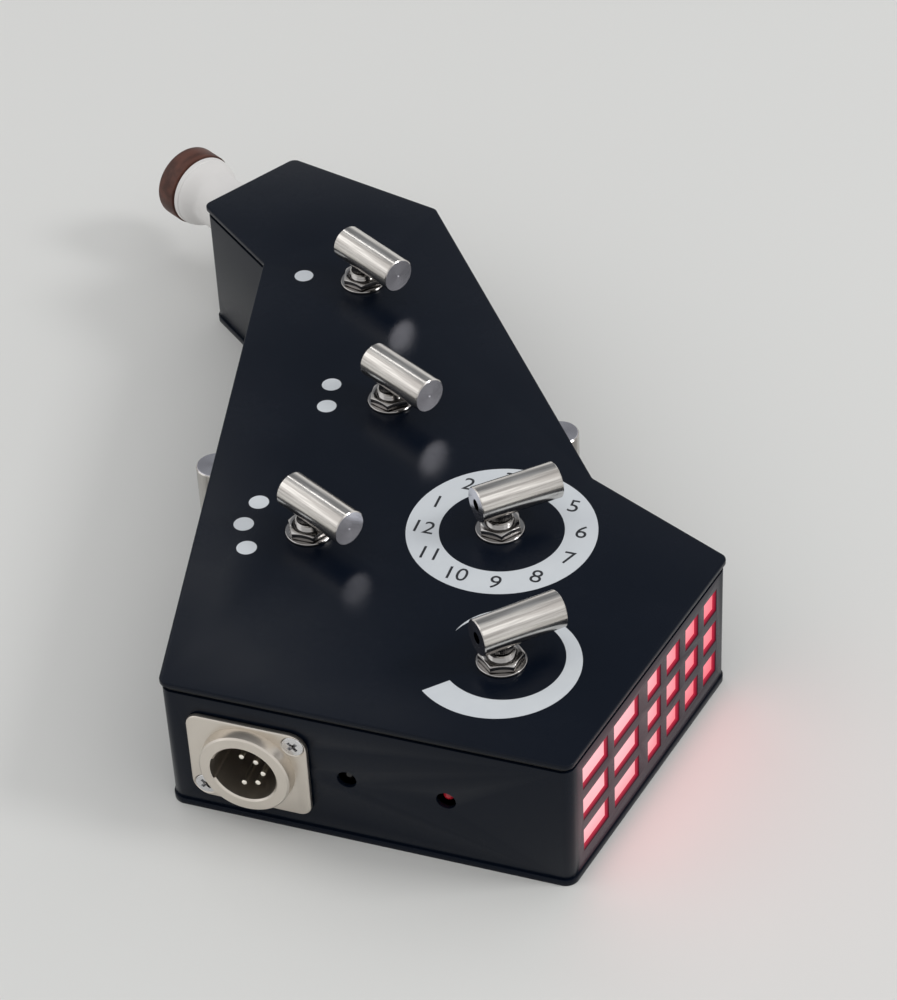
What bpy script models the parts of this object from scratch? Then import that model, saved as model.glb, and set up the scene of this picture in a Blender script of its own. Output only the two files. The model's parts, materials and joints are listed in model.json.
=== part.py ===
"""Handheld synthesizer: an eight-sided flat housing with five bar knobs, a lit side wall,
a chassis connector at the front and a flared mouthpiece at the far end."""
import bpy
import bmesh
from math import atan2, cos, pi, radians, sin, tan
from mathutils import Matrix, Vector

MM = 0.001

# Clearances
SEAT = 0.3 * MM             # between faces that rest on each other
ROOT = 0.5 * MM             # how far a joined shape reaches into what carries it
MERGE = 0.001 * MM          # between points that become one
CLAMP = 0.15 * MM           # between the thin faces under a tightened nut
FIT = 0.15 * MM             # round a screw, pin or spigot in its hole
RUNNING = 0.1 * MM          # round a shaft that turns in its bush

# Sides of the round pieces
CORNER_STEPS = 3            # in a corner of the housing
KNOB_SIDES = 24
SHAFT_SIDES = 16
CAN_SIDES = 18
NUT_SIDES = 12
CONNECTOR_SIDES = 28
CUP_SIDES = 26
CAPSULE_SIDES = 16
GRIP_SIDES = 20
LAMP_SIDES = 12
LAMP_DOME_STEPS = 3
SCREW_SIDES = 12
PIN_SIDES = 8

# Housing outline: each wall's length and heading, counter-clockwise seen from above
FRONT_LEFT = Vector((-20.0 * MM, -110.0 * MM))
FRONT_LENGTH = 103.5 * MM
LIGHT_LENGTH = 83.3 * MM
LIGHT_HEADING = radians(79.1)
SHOULDER_LENGTH = 46.1 * MM
SHOULDER_HEADING = radians(153.8)
RIGHT_LENGTH = 129.1 * MM
RIGHT_HEADING = radians(127.0)
TAIL_LENGTH = 50.2 * MM
TAIL_HEADING = radians(164.7)
MOUTH_LENGTH = 33.4 * MM
MOUTH_HEADING = radians(240.0)
NOTCH_LENGTH = 35.0 * MM
NOTCH_HEADING = radians(-39.2)

# Housing section, from the base upwards
BASE_THICKNESS = 1.8 * MM
WALL_HEIGHT = 35.3 * MM
WALL_THICKNESS = 1.2 * MM
SEAL_THICKNESS = 1.0 * MM
SEAL_WIDTH = 1.5 * MM
SEAL_RECESS = 0.5 * MM      # how far the seal lies behind the wall's face
PANEL_THICKNESS = 1.4 * MM
OVERHANG = 0.4 * MM         # of the panel and the base past the walls
BEND_RADIUS = 1.8 * MM      # inside a bend of the wall strip
PANEL_CORNER = 2.4 * MM
PANEL_CHAMFER = 0.25 * MM
BASE_CORNER = 3.4 * MM

# Controls: a bar knob across a round shaft
BAR_LENGTH = 22.2 * MM
BAR_DIAMETER = 9.5 * MM
BAR_CHAMFER = 0.25 * MM
BAR_AXIS_HEIGHT = 10.3 * MM   # above the panel
BAR_SHORT_END = 6.3 * MM      # from the shaft's axis to the near end
BORE_PAST_AXIS = 1.5 * MM     # how far the shaft's bore runs past the bar's axis
GRUB_HOLE_DIAMETER = 3.0 * MM
SHAFT_DIAMETER = 6.0 * MM
SHAFT_CHAMFER = 0.5 * MM
SHAFT_IN_CAN = 5.0 * MM
BUSH_DIAMETER = 7.0 * MM
BUSH_HEIGHT = 4.3 * MM        # above the panel
CONTROL_NUT_ACROSS = 10.0 * MM
CONTROL_NUT_THICKNESS = 2.0 * MM
NUT_SLOPE = radians(30)       # of a nut's eased corners
EASING_REACH = 1.2            # of the easing cone, in corner radii of its nut
WASHER_DIAMETER = 12.4 * MM
WASHER_THICKNESS = 0.6 * MM
CAN_DEPTH = 9.5 * MM
POT_CAN_DIAMETER = 17.0 * MM
SWITCH_CAN_DIAMETER = 25.0 * MM
TERMINAL_DIAMETER = 1.0 * MM
TERMINAL_SIDES = 6
TERMINAL_SPACING = 5.0 * MM
TERMINAL_INSET = 4.0 * MM     # of the row of terminals from the can's rim
TERMINAL_END = 0.9 * MM       # past the board

# Where the controls stand: wall, distance along it and inwards, the bar's angle, the nut's
CONTROLS = {
    "one_dot": ("right", 103.0 * MM, 29.6 * MM, radians(-30.5), radians(45)),
    "two_dot": ("right", 49.3 * MM, 38.4 * MM, radians(-29), radians(40)),
    "three_dot": ("front", 15.6 * MM, 62.4 * MM, radians(-28), radians(0)),
    "selector": ("front", -42.0 * MM, 76.4 * MM, radians(43), radians(53)),
    "level": ("front", -26.5 * MM, 30.0 * MM, radians(45), radians(20)),
}

# Lit wall
WINDOW = 7.1 * MM
WIDE_WINDOW = 12.85 * MM
WINDOW_PITCH = 10.2 * MM
WINDOW_ROWS = 3
WINDOW_COLUMNS = 4
WIDE_COLUMNS = 2
WINDOW_START = 40.1 * MM      # the square windows' first edge along the wall
WIDE_START = 6.6 * MM         # the wide windows' first edge along the wall
WINDOW_MIDDLE = 20.3 * MM     # height of the middle row
DIFFUSER_THICKNESS = 2.0 * MM
DIFFUSER_MARGIN = 4.0 * MM    # kept clear at both ends of the wall
LIGHT_GAP = 4.5 * MM          # between the diffuser and the light board
BOARD_THICKNESS = 1.6 * MM
LIGHT_BOARD_HEIGHT = 33.0 * MM
LAMP_SIZE = Vector((3.5 * MM, 2.8 * MM, 1.4 * MM))
HEADER_LENGTH = 30.0 * MM
HEADER_SECTION = 2.5 * MM
HEADER_REACH = 5.0 * MM

# Main board
BOARD_MARGIN = 4.0 * MM       # from the panel's edge
NOTCH_MARGIN = 2.0 * MM       # round the connector
CHIP_SIZES = ((14.0 * MM, 14.0 * MM), (9.0 * MM, 9.0 * MM), (10.0 * MM, 5.0 * MM))
CHIP_SPOTS = ((40.0 * MM, 50.0 * MM), (40.0 * MM, 95.0 * MM), (64.0 * MM, 50.0 * MM))
CHIP_THICKNESS = 1.4 * MM

# Pillars and base screws: wall, distance along it; all stand PILLAR_INSET inwards
PILLAR_INSET = 9.0 * MM
PILLAR_ACROSS = 5.5 * MM
PILLAR_SPOTS = {
    "front": ("front", -15.5 * MM),
    "shoulder": ("shoulder", 18.0 * MM),
    "tail": ("tail", 20.0 * MM),
    "notch": ("left", 12.0 * MM),
    "left": ("left", -33.0 * MM),
}
SPIGOT_DIAMETER = 3.8 * MM
SPIGOT_HOLE_DEPTH = 0.7 * MM
BASE_SCREW_DIAMETER = 2.9 * MM
BASE_SCREW_HEAD = 5.4 * MM
BASE_SCREW_LENGTH = 8.0 * MM
HEX_RECESS = 2.0 * MM         # across the flats
HEAD_SINK = 0.1 * MM
SCREW_END_SPACE = 1.0 * MM

# Connector on the front wall
CONNECTOR_ALONG = 22.2 * MM
CONNECTOR_HEIGHT = 19.7 * MM
FLANGE_WIDTH = 31.0 * MM
FLANGE_HEIGHT = 26.0 * MM
FLANGE_CORNER = 3.2 * MM
FLANGE_SCREW_CORNER = 4.6 * MM
FLANGE_THICKNESS = 1.5 * MM
COLLAR_HEIGHT = 3.3 * MM
COLLAR_ROOT_DIAMETER = 24.0 * MM
COLLAR_DIAMETER = 23.4 * MM
BARREL_DIAMETER = 22.2 * MM
BARREL_DEPTH = 16.0 * MM      # behind the wall's face
SOCKET_DIAMETER = 16.5 * MM
KEY_SLOT_WIDTH = 6.4 * MM
KEY_SLOT_DEPTH = 0.5 * MM     # past the socket's wall
INSERT_FACE_DEPTH = 9.0 * MM
CONTACT_DIAMETER = 1.5 * MM
CONTACT_DOME = 0.55 * MM      # height of a contact's rounded tip
CONTACT_CIRCLE = 8.8 * MM
CONTACT_STEP = radians(50.5)
CONTACT_COUNT = 5
CONTACT_SETBACK = 1.35 * MM   # of the tips behind the collar's rim
CONTACT_TAIL = 4.0 * MM
CONTACT_TAIL_DIAMETER = 1.1 * MM
CONNECTOR_SCREW_DIAMETER = 2.9 * MM
CONNECTOR_SCREW_HEAD = 5.6 * MM
CONNECTOR_SCREW_LENGTH = 8.0 * MM
CROSS_WIDTH = 0.7 * MM
CROSS_REACH = 2.6 * MM
CONNECTOR_SCREW_X = 12.0 * MM
CONNECTOR_SCREW_Y = 9.5 * MM

# Indicator lamps behind the front wall's small holes
INDICATORS = {"left": 46.9 * MM, "right": 72.1 * MM}
INDICATOR_HEIGHT = 20.2 * MM
INDICATOR_HOLE = 5.0 * MM
LAMP_DIAMETER = 3.0 * MM
LAMP_LENGTH = 4.8 * MM
LAMP_SETBACK = 3.2 * MM
LAMP_RIM_DIAMETER = 3.8 * MM
LAMP_RIM_LENGTH = 1.0 * MM
LEG_WIDTH = 0.6 * MM
LEG_SPACING = 2.54 * MM
LEG_ROOT = 0.2 * MM           # inside the lamp's rim
LEG_RUN = 2.5 * MM
LEG_END = 0.5 * MM            # past the board

# Touch grips on the side walls
GRIPS = {"left": ("left", -90.0 * MM), "right": ("right", 27.9 * MM)}
GRIP_DIAMETER = 10.0 * MM
GRIP_LENGTH = 28.0 * MM
GRIP_BOTTOM = 6.2 * MM
GRIP_AXIS = 1.6 * MM          # outside the wall's face
GRIP_CHAMFER = 0.4 * MM
GRIP_SPIGOT = 5.0 * MM
GRIP_SPIGOT_END = 0.8 * MM    # past the wall's inner face

# Mouthpiece on the mouth wall, sizes along its axis from the wall's face
MOUTH_ALONG = 14.6 * MM
MOUTH_HEIGHT = 23.0 * MM
STEM_DIAMETER = 12.8 * MM     # the threaded stem through the wall
STEM_LENGTH = 9.0 * MM        # inside the wall's face
NECK_DIAMETER = 16.2 * MM
NECK_FOOT_DIAMETER = 18.0 * MM
NECK_FOOT = 1.5 * MM
CUP_DIAMETER = 21.1 * MM
CUP_LENGTH = 27.9 * MM
CUP_RIM = 2.0 * MM
CUP_FLARE = 6.0 * MM
FLARE_STEPS = 4
CUP_LIP_DIAMETER = 18.0 * MM  # the lip that carries the ring
CUP_LIP = 3.6 * MM
CABLE_BORE = 8.4 * MM
CAPSULE_DIAMETER = 10.0 * MM
CAPSULE_LENGTH = 6.5 * MM
CAPSULE_START = 8.3 * MM
CAPSULE_FACE_DIAMETER = 7.5 * MM
CAPSULE_FACE_DEPTH = 0.6 * MM
FUNNEL_START = 16.0 * MM
FUNNEL_DIAMETER = 16.0 * MM
RING_DIAMETER = 22.0 * MM
RING_LENGTH = 7.2 * MM
RING_ROUND = 1.2 * MM
RING_FOOT = 0.4 * MM          # chamfer round the ring's foot
ROUND_STEPS = 2               # in a quarter round
MOUTH_NUT_ACROSS = 17.0 * MM
MOUTH_NUT_THICKNESS = 3.5 * MM

# Limits for corners and edges
CORNER_SHARE = 0.45           # of a side, the most that one rounded corner takes
LEAST_BEND = 0.3 * MM
FLAT_ANGLE = radians(0.5)     # up to which neighbouring faces become one
RIM_ANGLE = radians(60)       # from which a rim is chamfered
SHARP_ANGLE = radians(35)     # from which an edge is shaded sharp

# Heights that follow
WALL_BOTTOM = BASE_THICKNESS + SEAT
WALL_TOP = WALL_BOTTOM + WALL_HEIGHT
SEAL_BOTTOM = WALL_TOP + SEAT
PANEL_BOTTOM = SEAL_BOTTOM + SEAL_THICKNESS + SEAT
PANEL_TOP = PANEL_BOTTOM + PANEL_THICKNESS
CAN_TOP = PANEL_BOTTOM - SEAT
BOARD_TOP = CAN_TOP - CAN_DEPTH - SEAT
BOARD_BOTTOM = BOARD_TOP - BOARD_THICKNESS
DIFFUSER_DEPTH = WALL_THICKNESS + SEAT + DIFFUSER_THICKNESS
LIGHT_BOARD_FACE = DIFFUSER_DEPTH + LIGHT_GAP
LIGHT_BOARD_BACK = LIGHT_BOARD_FACE + BOARD_THICKNESS

# Finishes: colour, roughness, metallic
BLACK_METAL = ((0.016, 0.019, 0.026), 0.4, 0.6)
BLACK_RUBBER = ((0.01, 0.01, 0.011), 0.8, 0.0)
BRUSHED_METAL = ((0.62, 0.61, 0.59), 0.3, 1.0)
PLATED_METAL = ((0.60, 0.55, 0.48), 0.35, 1.0)
STEEL = ((0.55, 0.54, 0.52), 0.3, 1.0)
GOLD_PLATED = ((0.80, 0.62, 0.30), 0.25, 1.0)
BLACK_PLASTIC = ((0.012, 0.011, 0.010), 0.5, 0.0)
OPAL_ACRYLIC = ((0.95, 0.35, 0.38), 0.4, 0.0)
RED_LENS = ((0.55, 0.02, 0.02), 0.2, 0.0)
GREEN_BOARD = ((0.02, 0.12, 0.05), 0.5, 0.0)
WHITE_BOARD = ((0.8, 0.8, 0.78), 0.5, 0.0)
SATIN_WHITE = ((0.70, 0.69, 0.67), 0.4, 0.2)
BROWN_WOOD = ((0.14, 0.05, 0.035), 0.5, 0.0)


def clear_scene():
    for thing in list(bpy.data.objects):
        bpy.data.objects.remove(thing, do_unlink=True)


def new_collection(name):
    collection = bpy.data.collections.new(name)
    bpy.context.scene.collection.children.link(collection)
    return collection


clear_scene()
PARTS = new_collection("handheld_synthesizer")
CUTTERS = new_collection("cutters")


# Outlines in plan
def housing_corners():
    """The eight corners of the panel, counter-clockwise from the front left."""
    runs = (
        (FRONT_LENGTH, 0.0),
        (LIGHT_LENGTH, LIGHT_HEADING),
        (SHOULDER_LENGTH, SHOULDER_HEADING),
        (RIGHT_LENGTH, RIGHT_HEADING),
        (TAIL_LENGTH, TAIL_HEADING),
        (MOUTH_LENGTH, MOUTH_HEADING),
        (NOTCH_LENGTH, NOTCH_HEADING),
    )
    corners = [FRONT_LEFT.copy()]
    for length, heading in runs:
        step = Vector((cos(heading), sin(heading))) * length
        corners.append(corners[-1] + step)
    return corners


CORNERS = housing_corners()
WALL_NAMES = ("front", "light", "shoulder", "right", "tail", "mouth", "notch", "left")


def wall_line(name):
    """A wall's first corner, direction, outward normal and length."""
    index = WALL_NAMES.index(name)
    start = CORNERS[index]
    run = CORNERS[(index + 1) % len(CORNERS)] - start
    along = run.normalized()
    outward = Vector((along.y, -along.x))
    return start, along, outward, run.length


def spot(name, along, inwards):
    """A point in plan; a negative distance is measured back from the wall's far corner."""
    start, direction, outward, length = wall_line(name)
    distance = along if along >= 0 else length + along
    return start + direction * distance - outward * inwards


def wall_place(name, along, height):
    """A frame on a wall's outer face: x along the wall, y up, z outwards."""
    direction, outward = wall_line(name)[1:3]
    point = spot(name, along, OVERHANG)
    place = Matrix((
        (direction.x, 0.0, outward.x, point.x),
        (direction.y, 0.0, outward.y, point.y),
        (0.0, 1.0, 0.0, height),
        (0.0, 0.0, 0.0, 1.0),
    ))
    return place


def inset(points, distances):
    """The outline with each edge moved inwards by its own distance."""
    lines = []
    for index, point in enumerate(points):
        along = (points[(index + 1) % len(points)] - point).normalized()
        inward = Vector((-along.y, along.x))
        lines.append((point + inward * distances[index], along))
    moved = []
    for index, (point, along) in enumerate(lines):
        other, other_along = lines[index - 1]
        gap = point - other
        reach = gap.cross(along) / other_along.cross(along)
        moved.append(other + other_along * reach)
    return moved


def even_inset(points, distance):
    return inset(points, [distance] * len(points))


def turn_at(points, index):
    """How far an outline turns at a corner, counter-clockwise."""
    arriving = points[index] - points[index - 1]
    leaving = points[(index + 1) % len(points)] - points[index]
    return atan2(arriving.cross(leaving), arriving.dot(leaving))


def bend_radii(points, convex, concave):
    """One radius for each corner, by the way that the outline turns there."""
    return [convex if turn_at(points, index) > 0 else concave for index in range(len(points))]


def rounded(points, radii):
    """The outline with an arc at each corner, of that corner's radius."""
    outline = []
    for index, point in enumerate(points):
        back = points[index - 1] - point
        ahead = points[(index + 1) % len(points)] - point
        turn = turn_at(points, index)
        half_tangent = tan(abs(turn) / 2)
        reach = min(radii[index] * half_tangent, CORNER_SHARE * min(back.length, ahead.length))
        start = point + back.normalized() * reach
        inward = Vector((back.y, -back.x)).normalized() * (1 if turn > 0 else -1)
        centre = start + inward * reach / half_tangent
        for step in range(CORNER_STEPS + 1):
            outline.append(centre + Matrix.Rotation(turn * step / CORNER_STEPS, 2) @ (start - centre))
    return outline


def circle_outline(centre, radius, count):
    points = []
    for step in range(count):
        angle = 2 * pi * step / count
        points.append(Vector((centre[0] + radius * cos(angle), centre[1] + radius * sin(angle))))
    return points


def rectangle_outline(width, height):
    x = width / 2
    y = height / 2
    return [Vector((-x, -y)), Vector((x, -y)), Vector((x, y)), Vector((-x, y))]


# Making objects
def add_object(name, mesh, place=None):
    thing = bpy.data.objects.new(name, mesh)
    thing.matrix_world = place if place is not None else Matrix()
    PARTS.objects.link(thing)
    return thing


def settle(thing):
    """Apply a piece's modifiers and shade it smooth up to its sharp edges."""
    evaluated = thing.evaluated_get(bpy.context.evaluated_depsgraph_get())
    mesh = bpy.data.meshes.new_from_object(evaluated)
    mesh.shade_smooth()
    mesh.set_sharp_from_angle(angle=SHARP_ANGLE)
    mesh.name = thing.name
    thing.modifiers.clear()
    thing.data = mesh


def finish(thing, look):
    """Give an object its own material."""
    colour, roughness, metallic = look
    material = bpy.data.materials.new(thing.name + "_finish")
    material.use_nodes = True
    shader = material.node_tree.nodes["Principled BSDF"]
    shader.inputs["Base Color"].default_value = (*colour, 1.0)
    shader.inputs["Roughness"].default_value = roughness
    shader.inputs["Metallic"].default_value = metallic
    thing.data.materials.clear()
    thing.data.materials.append(material)
    return thing


def slab(name, outlines, low, high, place=None):
    """A flat piece between two heights; the outlines after the first are its holes."""
    curve = bpy.data.curves.new(name, "CURVE")
    curve.dimensions = "2D"
    curve.fill_mode = "BOTH"
    curve.extrude = (high - low) / 2
    for outline in outlines:
        spline = curve.splines.new("POLY")
        spline.points.add(len(outline) - 1)
        spline.use_cyclic_u = True
        for point, corner in zip(spline.points, outline):
            point.co = (corner.x, corner.y, 0.0, 1.0)
    middle = Matrix.Translation((0.0, 0.0, (low + high) / 2))
    guide = add_object(name + "_outline", curve, (place or Matrix()) @ middle)
    bpy.context.view_layer.update()
    evaluated = guide.evaluated_get(bpy.context.evaluated_depsgraph_get())
    mesh = bpy.data.meshes.new_from_object(evaluated)
    work = bmesh.new()
    work.from_mesh(mesh)
    bmesh.ops.remove_doubles(work, verts=work.verts, dist=MERGE)
    bmesh.ops.dissolve_limit(work, angle_limit=FLAT_ANGLE, verts=work.verts, edges=work.edges)
    bmesh.ops.recalc_face_normals(work, faces=work.faces)
    work.to_mesh(mesh)
    work.free()
    mesh.name = name
    thing = add_object(name, mesh, guide.matrix_world.copy())
    bpy.data.objects.remove(guide, do_unlink=True)
    return thing


def turned(name, profile, steps, place=None, closed=False):
    """A turned piece; the profile's points are radius and height, down the outer side."""
    mesh = bpy.data.meshes.new(name)
    work = bmesh.new()
    corners = [work.verts.new((radius, 0.0, height)) for radius, height in profile]
    pairs = list(zip(corners, corners[1:]))
    if closed:
        pairs.append((corners[-1], corners[0]))
    for pair in pairs:
        work.edges.new(pair)
    work.to_mesh(mesh)
    work.free()
    thing = add_object(name, mesh, place)
    screw = thing.modifiers.new("turn", "SCREW")
    screw.axis = "Z"
    screw.steps = steps
    screw.render_steps = steps
    screw.use_merge_vertices = True
    screw.merge_threshold = MERGE
    return thing


def boxes(name, spans, place=None):
    """Boxes in one mesh, each given by its spans along x, y and z."""
    work = bmesh.new()
    for spans_xyz in spans:
        size = [high - low for low, high in spans_xyz]
        centre = [(high + low) / 2 for low, high in spans_xyz]
        matrix = Matrix.Translation(centre) @ Matrix.Diagonal((*size, 1.0))
        bmesh.ops.create_cube(work, size=1.0, matrix=matrix)
    return mesh_object(name, work, place)


def rods(name, rods_list, place=None):
    """Round or many-sided rods along z in one mesh: centre, radius, low, high, sides."""
    work = bmesh.new()
    for centre, radius, low, high, sides in rods_list:
        matrix = Matrix.Translation((centre[0], centre[1], (low + high) / 2))
        bmesh.ops.create_cone(
            work, cap_ends=True, segments=sides, radius1=radius, radius2=radius,
            depth=high - low, matrix=matrix,
        )
    return mesh_object(name, work, place)


def mesh_object(name, work, place=None):
    mesh = bpy.data.meshes.new(name)
    bmesh.ops.recalc_face_normals(work, faces=work.faces)
    work.to_mesh(mesh)
    work.free()
    return add_object(name, mesh, place)


def combine(thing, tool, operation):
    boolean = thing.modifiers.new(tool.name, "BOOLEAN")
    boolean.operation = operation
    boolean.solver = "EXACT"
    boolean.object = tool
    if tool.name in PARTS.objects:
        PARTS.objects.unlink(tool)
        CUTTERS.objects.link(tool)
    tool.hide_render = True
    tool.display_type = "WIRE"
    return thing


def cut(thing, tool):
    return combine(thing, tool, "DIFFERENCE")


def fuse(thing, tool):
    return combine(thing, tool, "UNION")


def chamfer_rims(thing, width):
    bevel = thing.modifiers.new("edge", "BEVEL")
    bevel.width = width
    bevel.segments = 1
    bevel.limit_method = "ANGLE"
    bevel.angle_limit = RIM_ANGLE
    return thing


def flat_radius(across, sides=6):
    """The corner radius of a many-sided rod from its size across the flats."""
    return across / 2 / cos(pi / sides)


# Housing
def wall_loop(depth):
    """The wall strip's outline at a depth behind its outer face."""
    points = even_inset(CORNERS, OVERHANG + depth)
    convex = max(BEND_RADIUS + WALL_THICKNESS - depth, LEAST_BEND)
    return rounded(points, bend_radii(points, convex, BEND_RADIUS + depth))


def window_spans():
    """Square and wide windows, along the wall, up it and through it."""
    through = (-2 * WALL_THICKNESS, 2 * WALL_THICKNESS)
    spans = []
    for row in range(WINDOW_ROWS):
        middle = WINDOW_MIDDLE + (row - (WINDOW_ROWS - 1) / 2) * WINDOW_PITCH
        upright = (middle - WINDOW / 2, middle + WINDOW / 2)
        for column in range(WINDOW_COLUMNS):
            left = WINDOW_START + column * WINDOW_PITCH
            spans.append(((left, left + WINDOW), upright, through))
        for column in range(WIDE_COLUMNS):
            left = WIDE_START + column * (WIDE_WINDOW + WINDOW_PITCH - WINDOW)
            spans.append(((left, left + WIDE_WINDOW), upright, through))
    return spans


def connector_place():
    return wall_place("front", CONNECTOR_ALONG, CONNECTOR_HEIGHT)


def connector_screw_spots():
    return ((CONNECTOR_SCREW_X, CONNECTOR_SCREW_Y), (-CONNECTOR_SCREW_X, -CONNECTOR_SCREW_Y))


def mouth_place():
    return wall_place("mouth", MOUTH_ALONG, MOUTH_HEIGHT)


def make_wall_frame():
    frame = slab("wall_frame", (wall_loop(0.0), wall_loop(WALL_THICKNESS)), WALL_BOTTOM, WALL_TOP)
    cut(frame, boxes("window_cutter", window_spans(), wall_place("light", 0.0, 0.0)))
    deep = 3 * WALL_THICKNESS
    holes = [((0.0, 0.0), BARREL_DIAMETER / 2 + SEAT, -deep, deep, CONNECTOR_SIDES)]
    for centre in connector_screw_spots():
        holes.append((centre, CONNECTOR_SCREW_DIAMETER / 2 + FIT, -deep, deep, SCREW_SIDES))
    cut(frame, rods("connector_cutter", holes, connector_place()))
    holes = []
    for along in INDICATORS.values():
        holes.append(((along, INDICATOR_HEIGHT), INDICATOR_HOLE / 2, -deep, deep, SHAFT_SIDES))
    cut(frame, rods("indicator_cutter", holes, wall_place("front", 0.0, 0.0)))
    for side, (wall, along) in GRIPS.items():
        hole = ((0.0, 0.0), GRIP_SPIGOT / 2 + FIT, -deep, deep, SCREW_SIDES)
        place = wall_place(wall, along, GRIP_BOTTOM + GRIP_LENGTH / 2)
        cut(frame, rods(side + "_grip_cutter", [hole], place))
    hole = ((0.0, 0.0), STEM_DIAMETER / 2 + FIT, -deep, deep, CUP_SIDES)
    cut(frame, rods("stem_cutter", [hole], mouth_place()))
    return finish(frame, BLACK_METAL)


def control_spot(name):
    wall, along, inwards = CONTROLS[name][:3]
    return spot(wall, along, inwards)


def pillar_spots():
    return {name: spot(wall, along, PILLAR_INSET) for name, (wall, along) in PILLAR_SPOTS.items()}


def make_top_panel():
    outline = rounded(CORNERS, [PANEL_CORNER] * len(CORNERS))
    panel = slab("top_panel", (outline,), PANEL_BOTTOM, PANEL_TOP)
    chamfer_rims(panel, PANEL_CHAMFER)
    over = PANEL_TOP + PANEL_THICKNESS
    holes = []
    for name in CONTROLS:
        holes.append((control_spot(name), BUSH_DIAMETER / 2 + FIT, 0.0, over, SHAFT_SIDES))
    cut(panel, rods("bush_cutter", holes))
    sockets = []
    hole_top = PANEL_BOTTOM + SPIGOT_HOLE_DEPTH
    for centre in pillar_spots().values():
        sockets.append((centre, SPIGOT_DIAMETER / 2 + FIT, 0.0, hole_top, SCREW_SIDES))
    cut(panel, rods("spigot_cutter", sockets))
    return finish(panel, BLACK_METAL)


def make_top_seal():
    outer = wall_loop(SEAL_RECESS)
    inner = wall_loop(SEAL_RECESS + SEAL_WIDTH)
    seal = slab("top_seal", (outer, inner), SEAL_BOTTOM, SEAL_BOTTOM + SEAL_THICKNESS)
    return finish(seal, BLACK_RUBBER)


def sunk_profile(head, shank, length, margin):
    """A countersunk screw, or with a margin its hole, from the head's face downwards."""
    head_radius = head / 2 + margin
    shank_radius = shank / 2 + margin
    slope = head_radius - shank_radius
    return [
        (0.0, 0.0),
        (head_radius, 0.0),
        (shank_radius, -slope),
        (shank_radius, -length),
        (0.0, -length),
    ]


def base_screw_place(centre):
    """A frame on a base screw's head, its z pointing down out of the plate."""
    return Matrix.Translation((centre.x, centre.y, HEAD_SINK)) @ Matrix.Rotation(pi, 4, "X")


def make_bottom_plate():
    outline = rounded(CORNERS, [BASE_CORNER] * len(CORNERS))
    plate = slab("bottom_plate", (outline,), 0.0, BASE_THICKNESS)
    for name, centre in pillar_spots().items():
        profile = sunk_profile(BASE_SCREW_HEAD, BASE_SCREW_DIAMETER, 2 * BASE_THICKNESS, FIT)
        above = [(0.0, BASE_THICKNESS), (profile[1][0], BASE_THICKNESS)]
        place = base_screw_place(centre)
        cut(plate, turned(name + "_sink", above + profile[1:], SCREW_SIDES, place))
    return finish(plate, BLACK_METAL)


def cross_outline(width, span):
    """A cross, from the width of its arms and its whole span."""
    half = width / 2
    quarter = [Vector((half, half)), Vector((half, span / 2)), Vector((-half, span / 2))]
    points = []
    for step in range(4):
        turn = Matrix.Rotation(step * pi / 2, 2)
        points.extend(turn @ point for point in quarter)
    return points


def sunk_screw(name, head, shank, length, recess, place):
    screw = turned(name, sunk_profile(head, shank, length, 0.0), SCREW_SIDES, place)
    depth = (head - shank) / 2
    cut(screw, slab(name + "_recess", (recess,), -depth, depth, place))
    return finish(screw, STEEL)


def make_pillar_and_screw(name, centre):
    low = BASE_THICKNESS + SEAT
    high = PANEL_BOTTOM - SEAT
    stand = Matrix.Translation((centre.x, centre.y, 0.0))
    radius = flat_radius(PILLAR_ACROSS)
    pillar = rods(name + "_pillar", [((0.0, 0.0), radius, low, high, 6)], stand)
    spigot_top = PANEL_BOTTOM + SPIGOT_HOLE_DEPTH - SEAT
    spigot = ((0.0, 0.0), SPIGOT_DIAMETER / 2, high - ROOT, spigot_top, PIN_SIDES)
    fuse(pillar, rods(name + "_spigot", [spigot], stand))
    screw_end = HEAD_SINK + BASE_SCREW_LENGTH
    bore = ((0.0, 0.0), BASE_SCREW_DIAMETER / 2 + FIT, 0.0, screw_end + SCREW_END_SPACE, PIN_SIDES)
    cut(pillar, rods(name + "_thread_cutter", [bore], stand))
    finish(pillar, STEEL)
    recess = circle_outline((0.0, 0.0), flat_radius(HEX_RECESS), 6)
    sunk_screw(
        name + "_base_screw", BASE_SCREW_HEAD, BASE_SCREW_DIAMETER, BASE_SCREW_LENGTH, recess,
        base_screw_place(centre),
    )


# Controls
def control_place(name, height, turn=0.0):
    centre = control_spot(name)
    return Matrix.Translation((centre.x, centre.y, height)) @ Matrix.Rotation(turn, 4, "Z")


def make_knob(name):
    """A bar lying across its shaft, with the object's origin on the shaft's axis."""
    pointer = CONTROLS[name][3]
    radius = BAR_DIAMETER / 2
    profile = [
        (0.0, BAR_LENGTH - BAR_SHORT_END),
        (radius - BAR_CHAMFER, BAR_LENGTH - BAR_SHORT_END),
        (radius, BAR_LENGTH - BAR_SHORT_END - BAR_CHAMFER),
        (radius, BAR_CHAMFER - BAR_SHORT_END),
        (radius - BAR_CHAMFER, -BAR_SHORT_END),
        (0.0, -BAR_SHORT_END),
    ]
    lying = Matrix.Translation((0.0, 0.0, BAR_AXIS_HEIGHT)) @ Matrix.Rotation(pi / 2, 4, "Y")
    base = control_place(name, PANEL_TOP, pointer)
    knob = turned(name + "_knob", profile, KNOB_SIDES, base @ lying)
    bore = ((0.0, 0.0), SHAFT_DIAMETER / 2 + FIT, 0.0, BAR_AXIS_HEIGHT + BORE_PAST_AXIS, SHAFT_SIDES)
    cut(knob, rods(name + "_bore", [bore], base))
    grub = ((0.0, 0.0), GRUB_HOLE_DIAMETER / 2, -2 * BAR_SHORT_END, 0.0, SCREW_SIDES)
    cut(knob, rods(name + "_grub_hole", [grub], base @ lying))
    return finish(knob, BRUSHED_METAL)


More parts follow.
